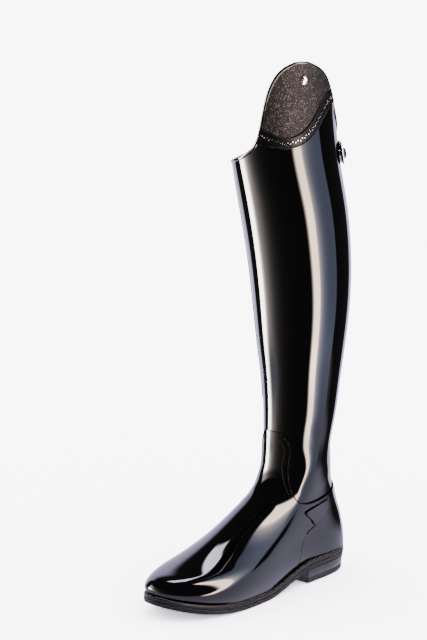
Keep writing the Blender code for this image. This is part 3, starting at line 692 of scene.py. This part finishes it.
STRAP_FACE = GAP + SECOND_LAYER + STRAP_THICK
SNAP_TURN, STUD_TURN, STUD_HEIGHT = 131.0, 73.0, 0.5285
turned(
    "snap_dome", BLACK_NICKEL, "nickel", frame_at(SNAP_HEIGHT, SNAP_TURN, STRAP_FACE + 0.0005),
    dome(0.0056, 0.0008, 0.0023), "snap_cap",
)
turned(
    "round_stud", NICKEL, "nickel", frame_at(STUD_HEIGHT, STUD_TURN, 0.0018), dome(0.0046, 0.0005, 0.0021),
    "flap_stud",
)
for name in ("snap_socket", "stud_rivet", "zip_slider", "pull_link", "pull_tab"):
    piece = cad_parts[name]
    piece.data.materials.clear()
    piece.data.materials.append(CALF if name == "pull_tab" else NICKEL)
    rounded = piece.modifiers.new("worn_edges", "BEVEL")
    rounded.width, rounded.segments, rounded.limit_method = 0.00025, 3, "ANGLE"

# Flap. The arched top is faced with glitter cloth, and a padded leather crescent closes it below,
# with piping along both of its edges. A turned cord of patent finishes the whole collar.

# Glitter cloth: a woven ground thick with foil flakes of mixed greys, set in clear resin
GLITTER, tree, shader, place = finish_of(
    "glitter_cloth", "#1d1819", 0.5, Metallic=0.25, Specular_IOR_Level=0.15,
)
FLAKE = 0.75
cells = add(tree, "ShaderNodeTexVoronoi", [("Vector", place, "Object")], Scale=1000.0 / FLAKE)
parts = add(tree, "ShaderNodeSeparateColor", [("Color", cells, "Color")])
ramp = add(tree, "ShaderNodeValToRGB", [("Fac", parts, "Red")])
ramp.color_ramp.interpolation = "CONSTANT"
FLAKE_SHADES = (
    (0.0, "#050505"), (0.28, "#0d0c0d"), (0.52, "#191718"), (0.74, "#302c2e"), (0.90, "#625b60"),
)
for spot, code in FLAKE_SHADES:
    stop = ramp.color_ramp.elements.new(spot) if spot else ramp.color_ramp.elements[0]
    stop.color = linear(code)
ramp.color_ramp.elements.remove(ramp.color_ramp.elements[-1])
tree.links.new(ramp.outputs["Color"], shader.inputs["Base Color"])
tilt = add(tree, "ShaderNodeBump", [("Height", parts, "Green")], Distance=0.00035, Strength=0.9)
tree.links.new(tilt.outputs["Normal"], shader.inputs["Normal"])

# Padded leather: soft black leather with a dull lacquer and a fine print
PADDED, *_ = finish_of(
    "padded_leather", "#08080a", 0.55, bump=((0.9, 0.06, 3.0), (4.0, 0.10, 1.0)), Specular_IOR_Level=0.04,
    Coat_Weight=0.12, Coat_Roughness=0.22,
)
FLAP_FRONT, FLAP_BACK, FLAP_LOW_ROW = 16.0, 125.0, 1.70
inside = (TURNS > FLAP_FRONT + 1.5) & (TURNS < FLAP_BACK - 1.0)
flap_turns = np.concatenate([[FLAP_FRONT], TURNS[inside], [FLAP_BACK]])
flap_rows = ALL_ROWS[ALL_ROWS >= FLAP_LOW_ROW]
GLITTER_LINE, BAND_LINE = flowing(GLITTER_EDGE), flowing(BAND_EDGE)
under = GLITTER_LINE + [(20.0, 521.0), (20.0, 340.0), (-145.0, 340.0)]
CLOTH_THICK, CRESCENT_THICK = 0.0008, 0.0014
cut_from_skin(
    "glitter_facing", GLITTER, flap_turns, flap_rows, GAP, CLOTH_THICK, "glitter_panel",
    [(prism("under_glitter", under, -REACH, REACH), "DIFFERENCE")], "glitter_fabric",
)
band = shift(GLITTER_LINE, 0.2, -0.6) + list(reversed(BAND_LINE))
cut_from_skin(
    "crescent_band", PADDED, flap_turns, flap_rows, GAP, CRESCENT_THICK, "flap_crescent",
    [(prism("band_keep", band, -REACH, REACH), "INTERSECT")],
)


def tube(name, path, radius, finish, sides):
    """Piping or cord of leather: a round tube along a line of points."""
    curve = bpy.data.curves.new(name, "CURVE")
    curve.dimensions = "3D"
    curve.bevel_depth = radius
    curve.bevel_resolution = sides
    curve.use_fill_caps = True
    line = curve.splines.new("POLY")
    line.points.add(len(path) - 1)
    line.points.foreach_set("co", [float(v) for p in path for v in (*p, 1.0)])
    pick(linked(name, curve))
    bpy.ops.object.convert(target="MESH")
    made = bpy.context.view_layer.objects.active
    made.data.materials.clear()
    made.data.materials.append(finish)
    smooth(made)
    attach(made, "boot")


def surface_of(*names):
    """Search tree over the shown pieces, on which seams and stitches are laid."""
    points, faces = [], []
    for name in names:
        mesh = bpy.data.objects[name].data
        start = len(points)
        points += [vertex.co.copy() for vertex in mesh.vertices]
        faces += [tuple(start + p for p in face.vertices) for face in mesh.polygons]
    return BVHTree.FromPolygons(points, faces)


SAMPLE = 0.25  # mm between the rays that find a seam on the surface
EDGE_ON = 0.02


def laid(tree, line, side, step, lift=0.0):
    """(point, normal) pairs at equal steps where a side-view line in mm falls on the surface."""
    hits = []
    for a, b in zip(line, line[1:]):
        count = max(1, int(math.dist(a, b) / SAMPLE))
        for k in range(count):
            y, z = ((a[i] + (b[i] - a[i]) * k / count) / 1000.0 for i in (0, 1))
            spot, out, _, _ = tree.ray_cast(Vector((side * 2.0 * REACH, y, z)), Vector((-side, 0, 0)))
            if spot is not None and out.x * side > EDGE_ON:
                hits.append((spot, out))
    kept, run = [], step
    for before, (spot, out) in zip([hits[0]] + hits, hits):
        run += (spot - before[0]).length
        if run >= step:
            kept.append((spot + out * lift, out))
            run = 0.0
    return kept


flap_tree = surface_of("crescent_band", "glitter_facing")
PIPING, COLLAR_CORD = 0.0007, 0.0019
piping_lines = {"piping_low": shift(BAND_LINE, 0.0, 0.7), "piping_high": shift(GLITTER_LINE, 0.3, -1.0)}
for name, line in piping_lines.items():
    spots = laid(flap_tree, line, 1.0, 0.0012, 0.0001)
    tube(name, [spot for spot, _ in spots], PIPING, PADDED, 2)
COLLAR_TURNS, CORD_START = np.arange(0.0, 360.0, 1.5), 186.0
rim = lifted(stop_of(np.full(COLLAR_TURNS.shape, 2.0), COLLAR_TURNS), COLLAR_TURNS, -0.0006)
# The cord starts at the slot's inner side and ends 8 steps before that, on its outer side
first = int(np.searchsorted(COLLAR_TURNS, CORD_START))
tube("collar_piping", [*rim[first:], *rim[: first - 8]], COLLAR_CORD, PATENT, 4)

# Crystals. A chain of small cut stones runs along the middle of the crescent. Each is a low six-sided cone
# with its point cut off, set a little to either side of the line in turn.

# Crystal: cut glass, silvered behind, which reads as dull grey metal at this size
CRYSTAL, *_ = finish_of("cut_crystal", "#9b989f", 0.22, Metallic=1.0)
middle = [((a[0] + b[0]) / 2.0, (a[1] + b[1]) / 2.0) for a, b in zip(GLITTER_LINE, BAND_LINE)]
stones = laid(flap_tree, middle, 1.0, 0.0025, 0.0003)
points, faces = [], []
for number, (spot, out) in enumerate(stones):
    along = (stones[min(number + 1, len(stones) - 1)][0] - stones[max(number - 1, 0)][0]).normalized()
    across = out.cross(along).normalized()
    spot = spot + across * (0.0006 if number % 2 else -0.0006)
    start = len(points)
    for radius, high in ((0.0010, 0.0), (0.0010, 0.0004), (0.0006, 0.0009)):
        for k in range(6):
            a = math.pi * (k / 3.0 + 0.13 * number)
            points.append(spot + along * radius * math.cos(a) + across * radius * math.sin(a) + out * high)
    faces += stacked(start, 6, 3)
mesh_piece("crystal_chain", points, faces, CRYSTAL, slot="nickel")

# Bottom. The welt is a strip of leather sewn round the foot. The outsole is rubber with a finely
# ribbed edge. The heel is stacked of leather layers on a rubber lift, and tapers to the ground.

# Welt leather: firm black leather with a waxed edge. Sole rubber: dull black, moulded
WELT, *_ = finish_of(
    "welt_leather", "#141314", 0.45, bump=((1.2, 0.10, 4.0),), Specular_IOR_Level=0.2, Coat_Weight=0.08,
    Coat_Roughness=0.25,
)
RUBBER, *_ = finish_of("sole_rubber", "#0f0e0f", 0.5, bump=((0.8, 0.06, 3.0),), Specular_IOR_Level=0.25)
# Stacked heel: layers of sole leather, sanded flush and inked black, with fine dark joints
STACK, tree, shader, place = finish_of(
    "stacked_heel", "#151212", 0.35, bump=((2.2, 0.04, 3.0),), Specular_IOR_Level=0.35, Coat_Weight=0.2,
    Coat_Roughness=0.12,
)
LIFT_LAYER = 3.4
height = add(tree, "ShaderNodeSeparateXYZ", [("Vector", place, "Object")])
layers = add(tree, "ShaderNodeMath", [(0, height, "Z")], operation="MULTIPLY")
layers.inputs[1].default_value = 1000.0 * 2.0 * math.pi / LIFT_LAYER
wave = add(tree, "ShaderNodeMath", [(0, layers, "Value")], operation="COSINE")
sharp = add(tree, "ShaderNodeMapRange", [("Value", wave, "Value")], From_Min=0.90, From_Max=1.0)
shade = add(tree, "ShaderNodeMix", [("Factor", sharp, "Result")], data_type="RGBA")
shade.inputs[6].default_value, shade.inputs[7].default_value = linear("#131213"), linear("#0a0909")
tree.links.new(shade.outputs[2], shader.inputs["Base Color"])


def sole_edge(turns, inset=0.0):
    """Points of the sole's outline, drawn in by an inset."""
    angle = np.radians(turns)
    c, side = (1.0 - np.cos(angle)) / 2.0, np.sin(angle)
    y = BACK_Y - SOLE_LENGTH * (1.0 - c)
    half = half_width(c, side >= 0.0, [w * HALF_BALL for w in SOLE_WIDTHS])
    return np.stack([centre(y) + side * (half - inset), y + inset * np.cos(angle)], -1)


def upper_edge(turns, inset):
    """Points of the lasted upper's edge at the feather line, drawn in by an inset."""
    spot = skin(np.zeros(len(turns)), turns)
    angle = np.radians(turns)
    return np.stack([spot[:, 0] - np.sin(angle) * inset, spot[:, 1] + np.cos(angle) * inset], -1)


def ring_solid(name, profile, finish, slot, node, capped=True):
    """Solid of stacked outlines, each (points, heights). Ladders of quads cap it, or it closes on itself."""
    count = len(profile[0][0])
    points = [(x, y, z) for outline, heights in profile for (x, y), z in zip(outline, heights)]
    faces = [face for face in stacked(0, count, len(profile)) if len(face) == 4]
    top = (len(profile) - 1) * count
    if capped:
        for k in range(count // 2 - 1):
            a, b = k, count - 1 - k
            faces.append((a, b, b - 1, a + 1))
            faces.append((top + a, top + a + 1, top + b - 1, top + b))
    else:
        faces += [(top + k, top + (k + 1) % count, (k + 1) % count, k) for k in range(count)]
    made = mesh_piece(name, points, faces, finish, slot=slot)
    pick(made)
    bpy.ops.object.mode_set(mode="EDIT")
    bpy.ops.mesh.select_all(action="SELECT")
    bpy.ops.mesh.normals_make_consistent(inside=False)
    bpy.ops.object.mode_set(mode="OBJECT")
    bpy.ops.object.shade_smooth_by_angle(angle=math.radians(35.0))
    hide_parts(node)


EDGE_TURNS = np.arange(0.3, 360.0, 0.6)
SEAT = SOLE_THICK + GAP


def on_bottom(outline, lift):
    """One level of a solid: an outline at a distance over the sole's underside."""
    return outline, sole_bottom(outline[:, 1]) + lift


def on_profile(inset, lift):
    return on_bottom(sole_edge(EDGE_TURNS, inset), lift)


RIB_DEPTH = 0.00035
ribbed = sole_edge(EDGE_TURNS, 0.0004 + RIB_DEPTH * (np.arange(len(EDGE_TURNS)) % 2))
ring_solid(
    "ribbed_outsole",
    [
        on_profile(0.0022, 0.0), on_bottom(ribbed, 0.0005), on_bottom(ribbed, 0.0019),
        on_profile(0.0004, 0.0023), on_profile(0.0, 0.0028), on_profile(0.0, 0.0046),
        on_profile(0.0004, SOLE_THICK),
    ],
    RUBBER, "sole_rubber", "outsole",
)
inner_line = upper_edge(EDGE_TURNS, 0.0037)
ring_solid(
    "sewn_welt",
    [
        on_bottom(inner_line, SEAT), on_profile(0.0006, SEAT), on_profile(0.0001, SEAT + 0.0008),
        on_profile(0.0001, SEAT + 0.0030), on_profile(0.0009, SEAT + WELT_THICK),
        on_bottom(inner_line, SEAT + WELT_THICK),
    ],
    WELT, "welt_leather", "welt", capped=False,
)
filler = upper_edge(EDGE_TURNS, 0.0040)
# Insole calf: tan vegetable-tanned leather over a thin pad
INSOLE, *_ = finish_of("insole_calf", "#d98a50", 0.5, bump=((1.5, 0.06, 4.0),), Specular_IOR_Level=0.35)
ring_solid(
    "padded_insole",
    [
        on_bottom(filler, SEAT), (filler, feather(filler[:, 1]) + 0.0017),
        (upper_edge(EDGE_TURNS, 0.0048), feather(filler[:, 1]) + 0.0022),
    ],
    INSOLE, "insole_leather", "insole",
)

# Welt stitches. They are pressed by a wheel into even ridges all along the welt's top.

# Waxed thread: grey linen. Black thread: fine polyester, dull
THREAD, *_ = finish_of("waxed_thread", "#4b4949", 0.45, Specular_IOR_Level=0.5)
LEATHER_THREAD, *_ = finish_of("black_thread", "#2a292b", 0.6, Specular_IOR_Level=0.25)


def stitches(name, spots, length, radius, finish=LEATHER_THREAD, slot="patent_leather", gap=0.012):
    """A row of short fat threads along a seam of (point, normal) pairs, left out where it has a gap."""
    points, faces = [], []
    for number, (spot, out) in enumerate(spots):
        after, before = spots[min(number + 1, len(spots) - 1)][0], spots[max(number - 1, 0)][0]
        if (after - before).length > gap:
            continue
        along = (Vector(after) - Vector(before)).normalized()
        across = Vector(out).cross(along).normalized()
        start = len(points)
        for place, share in ((-0.5, 0.35), (-0.32, 1.0), (0.32, 1.0), (0.5, 0.35)):
            for k in range(6):
                a = math.pi * k / 3.0
                ray = across * math.cos(a) + Vector(out) * math.sin(a) * 0.7
                points.append(Vector(spot) + along * (length * place) + ray * (radius * share))
        faces += stacked(start, 6, 4)
    smooth(mesh_piece(name, points, faces, finish, slot=slot))


dense = np.arange(0.0, 360.0, 0.1)
track = sole_edge(dense, 0.0015)
heights = sole_bottom(track[:, 1]) + SEAT + WELT_THICK + 0.0001
spots, run = [], 0.0
WELT_STITCH = 0.0028  # from one ridge to the next
for k in range(1, len(dense)):
    run += math.dist(track[k], track[k - 1])
    if run >= WELT_STITCH:
        spots.append((Vector((*track[k], heights[k])), Vector((0.0, 0.0, 1.0))))
        run = 0.0
stitches("welt_stitches", spots, 0.0014, 0.0009, THREAD, "welt_leather", 0.008)

# Heel. The stack and its lift taper a little toward the ground, and the breast is cut straight.
breast_turn = math.degrees(math.acos(2.0 * (BACK_Y - BREAST_Y) / SOLE_LENGTH - 1.0))
half_turns = np.linspace(breast_turn, 179.7, 60)
HEEL_TURNS = np.concatenate([half_turns, 360.0 - half_turns[::-1]])


def heel_line(inset):
    """D-shaped outline: the sole's back with a straight breast, kept straight at every inset."""
    outline = sole_edge(HEEL_TURNS, inset)
    outline[0, 1] = outline[-1, 1] = BREAST_Y
    return outline


def heel_level(inset, height):
    return heel_line(inset), np.full(len(HEEL_TURNS), height)


ring_solid(
    "heel_stack",
    [
        heel_level(0.0024, LIFT_THICK + GAP), heel_level(0.0020, LIFT_THICK + 0.0008),
        on_bottom(heel_line(0.0009), -GAP - 0.0008), on_bottom(heel_line(0.0012), -GAP),
    ],
    STACK, "heel_leather", "heel_block",
)
ring_solid(
    "heel_top_lift",
    [
        heel_level(0.0030, 0.0), heel_level(0.0022, 0.0008), heel_level(0.0019, LIFT_THICK - 0.0006),
        heel_level(0.0023, LIFT_THICK),
    ],
    RUBBER, "sole_rubber", "heel_lift",
)

# Seams. Black thread runs in two rows along the vamp and the calf panel and one along the others. A matt
# black cord beside the rows is painted shade, standing in for the dark gap under the leather's turned edges.
leather_tree = surface_of(
    "vamp_leather", "quarter_outer", "quarter_inner", "spur_wedge_outer", "spur_wedge_inner",
)


def unbroken(spots, gap):
    """Splits (point, normal) pairs into runs of points with no gap between them."""
    runs = [[spots[0][0]]]
    for before, after in zip(spots, spots[1:]):
        if (after[0] - before[0]).length > gap:
            runs.append([])
        runs[-1].append(after[0])
    return [run for run in runs if len(run) > 2]


def beside(line, off):
    """The line moved sideways in the side view, by off mm to the right of its run."""
    moved = []
    for k, spot in enumerate(line):
        a, b = line[max(k - 1, 0)], line[min(k + 1, len(line) - 1)]
        long = math.dist(a, b)
        moved.append((spot[0] + off * (b[1] - a[1]) / long, spot[1] - off * (b[0] - a[0]) / long))
    return moved


# Painted shade: a matt black cord that stands in for the shadowed gap along the turned edges of the vamp and
# quarters
SEAM_SHADE_CORD, *_ = finish_of("inked_edge", "#040404", 0.8, Specular_IOR_Level=0.05)
SEAM_THREAD, LEG_THREAD = 0.00028, 0.00026
SEAM_PITCH, LONG_PITCH = 0.0026, 0.0028
EDGE_CORD = 0.0006
for side, tag in ((1.0, "outer"), (-1.0, "inner")):
    for seam, line in (("vamp", VAMP_LINE), ("quarter", COUNTER_LINE)):
        spots = laid(leather_tree, beside(line, 0.25), side, 0.0012, -0.0001)
        for number, run in enumerate(unbroken(spots, 0.006)):
            # Painted shade: a matt black cord along the seam's edge, in place of the gap's shadow
            tube(f"{seam}_edge_{tag}_{number}", run, EDGE_CORD, SEAM_SHADE_CORD, 2)
    for name, line, off in (
        ("vamp_stitches_a", VAMP_LINE[4:], 1.2), ("vamp_stitches_b", VAMP_LINE[4:], 4.4),
        ("quarter_stitches", COUNTER_LINE, 1.4),
    ):
        spots = laid(leather_tree, beside(line, off), side, SEAM_PITCH)
        stitches(f"{name}_{tag}", spots, 0.0019, SEAM_THREAD)

panel_tree = surface_of("calf_panel_leather", "lasted_upper")
for row, off in (("a", 1.2), ("b", 4.2)):
    spots = laid(panel_tree, beside(flowing(CALF_PANEL_EDGE), off), -1.0, LONG_PITCH)
    stitches(f"panel_stitches_{row}", spots, 0.0020, SEAM_THREAD, slot="calf_leather")


def seam_on_leg(name, stops, turns, lift, length):
    """A row of stitches over the leg at a distance off the skin."""
    spots, outs = skin(stops, turns), normal(stops, turns)
    row = [(Vector(spot + out * lift), Vector(out)) for spot, out in zip(spots, outs)]
    stitches(name, row, length, LEG_THREAD, gap=0.02)


THREAD_LIFT = 0.00005
leg_stops = stop_at(np.arange(0.0600, 0.4380, LONG_PITCH))
for turn in (166.2, 174.0, 186.0, 193.8):
    seam_on_leg(f"facing_stitches_{turn:.0f}", leg_stops, turn, GAP + OVERLAY + THREAD_LIFT, 0.0020)
strap_turns = np.arange(133.0, 200.0, 3.0)
for tag, height in (("low", STRAP_LOW + 0.0018), ("high", STRAP_HIGH - 0.0018)):
    level = np.full(strap_turns.shape, stop_at(height))
    seam_on_leg(f"strap_stitches_{tag}", level, strap_turns, STRAP_FACE + THREAD_LIFT, 0.0021)

# Studio. A white paper sweep and floor, with lamps to both sides as cards of light that only the gloss
# sees. The room itself is dark, which keeps the patent black.
FLOOR_GAIN = 9.0  # the view's film curve shows paper as white only when it is lit this far over the boot
CAMERA_TURN = 41.7


def plain_finish(name):
    """Material with an empty node tree."""
    made = bpy.data.materials.new(name)
    made.use_nodes = True
    made.node_tree.nodes.clear()
    return made, made.node_tree


# Paper: white, matt and unprinted, which the gloss doesn't see
FLOOR, tree = plain_finish("paper_floor")
paper_white = [FLOOR_GAIN * part for part in linear("#f4f1fa")[:3]] + [1.0]
chalk = add(tree, "ShaderNodeBsdfDiffuse", Color=paper_white)
add(tree, "ShaderNodeOutputMaterial", [("Surface", chalk, "BSDF")])
bpy.ops.mesh.primitive_plane_add(size=60.0, location=(0.0, 0.0, -0.0001))
floor = bpy.context.object
floor.name = "floor"
floor.data.materials.append(FLOOR)
floor.visible_glossy = floor.visible_diffuse = False

# Lit paper: the part of the sheet near the boot, seen by the gloss alone, as a long ellipse that fades
GLOW, tree = plain_finish("floor_glow")
spot_place = add(tree, "ShaderNodeTexCoord")
stretched = add(
    tree, "ShaderNodeMapping", [("Vector", spot_place, "Object")], vector_type="TEXTURE",
    Rotation=(0.0, 0.0, math.radians(CAMERA_TURN)), Scale=(2.6, 1.0, 1.0),
)
reach = add(tree, "ShaderNodeVectorMath", [(0, stretched, "Vector")], operation="LENGTH")
fade_out = add(
    tree, "ShaderNodeMapRange", [("Value", reach, "Value")], From_Min=0.16, From_Max=0.30, To_Min=1.0,
    To_Max=0.0, interpolation_type="SMOOTHSTEP",
)
glow = add(tree, "ShaderNodeEmission", Color=linear("#dcd7f5"), Strength=1.75)
clear = add(tree, "ShaderNodeBsdfTransparent")
mixed = add(tree, "ShaderNodeMixShader", [(0, fade_out, "Result"), (1, clear, "BSDF"), (2, glow, "Emission")])
add(tree, "ShaderNodeOutputMaterial", [("Surface", mixed, "Shader")])
bpy.ops.mesh.primitive_circle_add(radius=0.9, fill_type="NGON", vertices=64, location=(0.0, -0.09, -0.0003))
glow_disc = bpy.context.object
glow_disc.name = "floor_near"
glow_disc.data.materials.append(GLOW)
for kind in ("camera", "diffuse", "transmission", "volume_scatter", "shadow"):
    setattr(glow_disc, "visible_" + kind, False)
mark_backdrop(floor, glow_disc)

world = bpy.data.worlds.new("studio")
bpy.context.scene.world = world
world.use_nodes = True
world.cycles.sampling_method = "NONE"
tree = world.node_tree
tree.nodes.clear()
ray = add(tree, "ShaderNodeTexCoord")
axes = add(tree, "ShaderNodeSeparateXYZ", [("Vector", ray, "Generated")])


def calc(operation, *values):
    """Math node on sockets or numbers."""
    made = add(tree, "ShaderNodeMath", operation=operation)
    for socket, value in enumerate(values):
        if isinstance(value, (int, float)):
            made.inputs[socket].default_value = value
        else:
            tree.links.new(value, made.inputs[socket])
    return made.outputs[0]


def product(*values):
    result = values[0]
    for value in values[1:]:
        result = calc("MULTIPLY", result, value)
    return result


def step_up(value, low, high):
    """0 below low, 1 above high, smooth between."""
    made = add(tree, "ShaderNodeMapRange", From_Min=low, From_Max=high, interpolation_type="SMOOTHSTEP")
    tree.links.new(value, made.inputs["Value"])
    return made.outputs["Result"]


def step_down(value, low, high):
    return calc("SUBTRACT", 1.0, step_up(value, low, high))


def band_of(value, low, high, soft):
    """1 between two angles, with soft ends."""
    return calc("SUBTRACT", step_up(value, low - soft, low + soft), step_up(value, high - soft, high + soft))


def falling(value, start, rate):
    """1 up to start, then an exponential fall."""
    return calc("POWER", 2.718, product(calc("MAXIMUM", calc("SUBTRACT", value, start), 0.0), -rate))


def exposed(strength):
    """Lifts the brightest cards as the photo's film does, which the view's own curve holds down."""
    return product(strength, calc("ADD", calc("POWER", product(strength, 1.0 / 15.0), 3.6), 1.0))


# Directions in degrees: round the boot from the toe over its outer side, up, and off the view behind
DEGREE = 180.0 / math.pi
side_way = product(calc("ARCTAN2", axes.outputs["X"], calc("MULTIPLY", axes.outputs["Y"], -1.0)), DEGREE)
upward = product(calc("ARCSINE", axes.outputs["Z"]), DEGREE)
turn_off = calc("MODULO", calc("ADD", side_way, 720.0 - CAMERA_TURN), 360.0)
behind = calc("ABSOLUTE", calc("SUBTRACT", turn_off, 180.0))

# Right lamp: a tall card, cream on its near edge, which leans, falling to slate toward the back
CREAM, SLATE, SLATE_LOW = 15.0, 2.2, 3.0
lean = product(step_up(upward, -12.0, 8.0), 24.0)
lean = calc("SUBTRACT", lean, product(calc("MAXIMUM", upward, 0.0), 0.30))
from_edge = calc("SUBTRACT", side_way, calc("ADD", lean, 80.0))
decay = falling(from_edge, 14.0, 0.16)
slate = calc("ADD", SLATE, product(step_up(upward, -16.0, -34.0), SLATE_LOW))
right_card = product(
    step_up(from_edge, -3.0, 4.0), step_down(side_way, 132.0, 134.0), band_of(upward, -70.0, 68.0, 3.0),
    calc("ADD", product(decay, CREAM), slate),
)
right_cream = product(right_card, decay)
right_slate = calc("SUBTRACT", right_card, right_cream)
# Left lamp: a broad card, brightest at its far edge and fading toward the camera and upward
LEFT, LEFT_DROP = 21.0, 15.0
left_card = product(
    step_up(side_way, -75.0, -71.0), step_down(side_way, 40.0, 60.0), band_of(upward, -75.0, 28.0, 4.0),
    falling(side_way, -56.0, 0.078), calc("SUBTRACT", LEFT, product(step_up(upward, 2.0, 16.0), LEFT_DROP)),
)
# Window of light high behind the toe, the white sweep behind the boot, and the dark of the room
WINDOW, SWEEP, ROOM = 13.0, 2.9, 0.05
high_card = product(band_of(side_way, -146.0, -109.0, 2.0), band_of(upward, 61.0, 76.0, 1.5), WINDOW)
sweep = product(step_down(behind, 37.0, 40.0), band_of(upward, -60.0, 34.0, 6.0), SWEEP)
studio = None
for strength, code in (
    (right_cream, "#ffe3d0"), (right_slate, "#b4c0e6"), (left_card, "#fff3ea"), (high_card, "#f0ebff"),
    (sweep, "#e0daff"), (ROOM, "#ffffff"),
):
    lamp = add(tree, "ShaderNodeVectorMath", operation="SCALE")
    lamp.inputs[0].default_value = linear(code)[:3]
    tree.links.new(exposed(strength), lamp.inputs["Scale"])
    if studio:
        lamp = add(tree, "ShaderNodeVectorMath", [(0, studio, 0), (1, lamp, 0)], operation="ADD")
    studio = lamp
path = add(tree, "ShaderNodeLightPath")
gloss = add(tree, "ShaderNodeBackground", [("Color", studio, 0)], Strength=1.0)
soft = add(tree, "ShaderNodeBackground", Color=linear("#ffffff"), Strength=1.05)
paper = add(tree, "ShaderNodeBackground", Color=linear("#fbfaff"), Strength=FLOOR_GAIN)
seen = soft
for kind, shown in (("Is Glossy Ray", gloss), ("Is Camera Ray", paper)):
    seen = add(tree, "ShaderNodeMixShader", [(0, path, kind), (1, seen, 0), (2, shown, 0)])
add(tree, "ShaderNodeOutputWorld", [("Surface", seen, 0)])

# Camera. It stands a little above the boot and round toward its outer front, as in the photograph.
AZIMUTH, ELEVATION, ROLL = (math.radians(v) for v in (CAMERA_TURN, 11.3, -1.4))
AIM, AIM_RIGHT, AIM_UP, DISTANCE = Vector((0.0, -0.039, 0.25)), -0.083, 0.0248, 1.96
back = Vector((
    math.sin(AZIMUTH) * math.cos(ELEVATION), -math.cos(AZIMUTH) * math.cos(ELEVATION), math.sin(ELEVATION),
))
right = Vector((math.cos(AZIMUTH), math.sin(AZIMUTH), 0.0))
level = back.cross(right)
across = right * math.cos(ROLL) - level * math.sin(ROLL)
above = right * math.sin(ROLL) + level * math.cos(ROLL)
eye = AIM + right * AIM_RIGHT + level * AIM_UP + back * DISTANCE
camera = linked("camera", bpy.data.cameras.new("camera"))
camera.matrix_world = Matrix((
    (across.x, above.x, back.x, eye.x), (across.y, above.y, back.y, eye.y),
    (across.z, above.z, back.z, eye.z), (0.0, 0.0, 0.0, 1.0),
))
camera.data.sensor_width = 36.0
camera.data.lens = 106.47
camera.data.clip_start, camera.data.clip_end = 0.05, 100.0
bpy.context.scene.camera = camera

low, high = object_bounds()
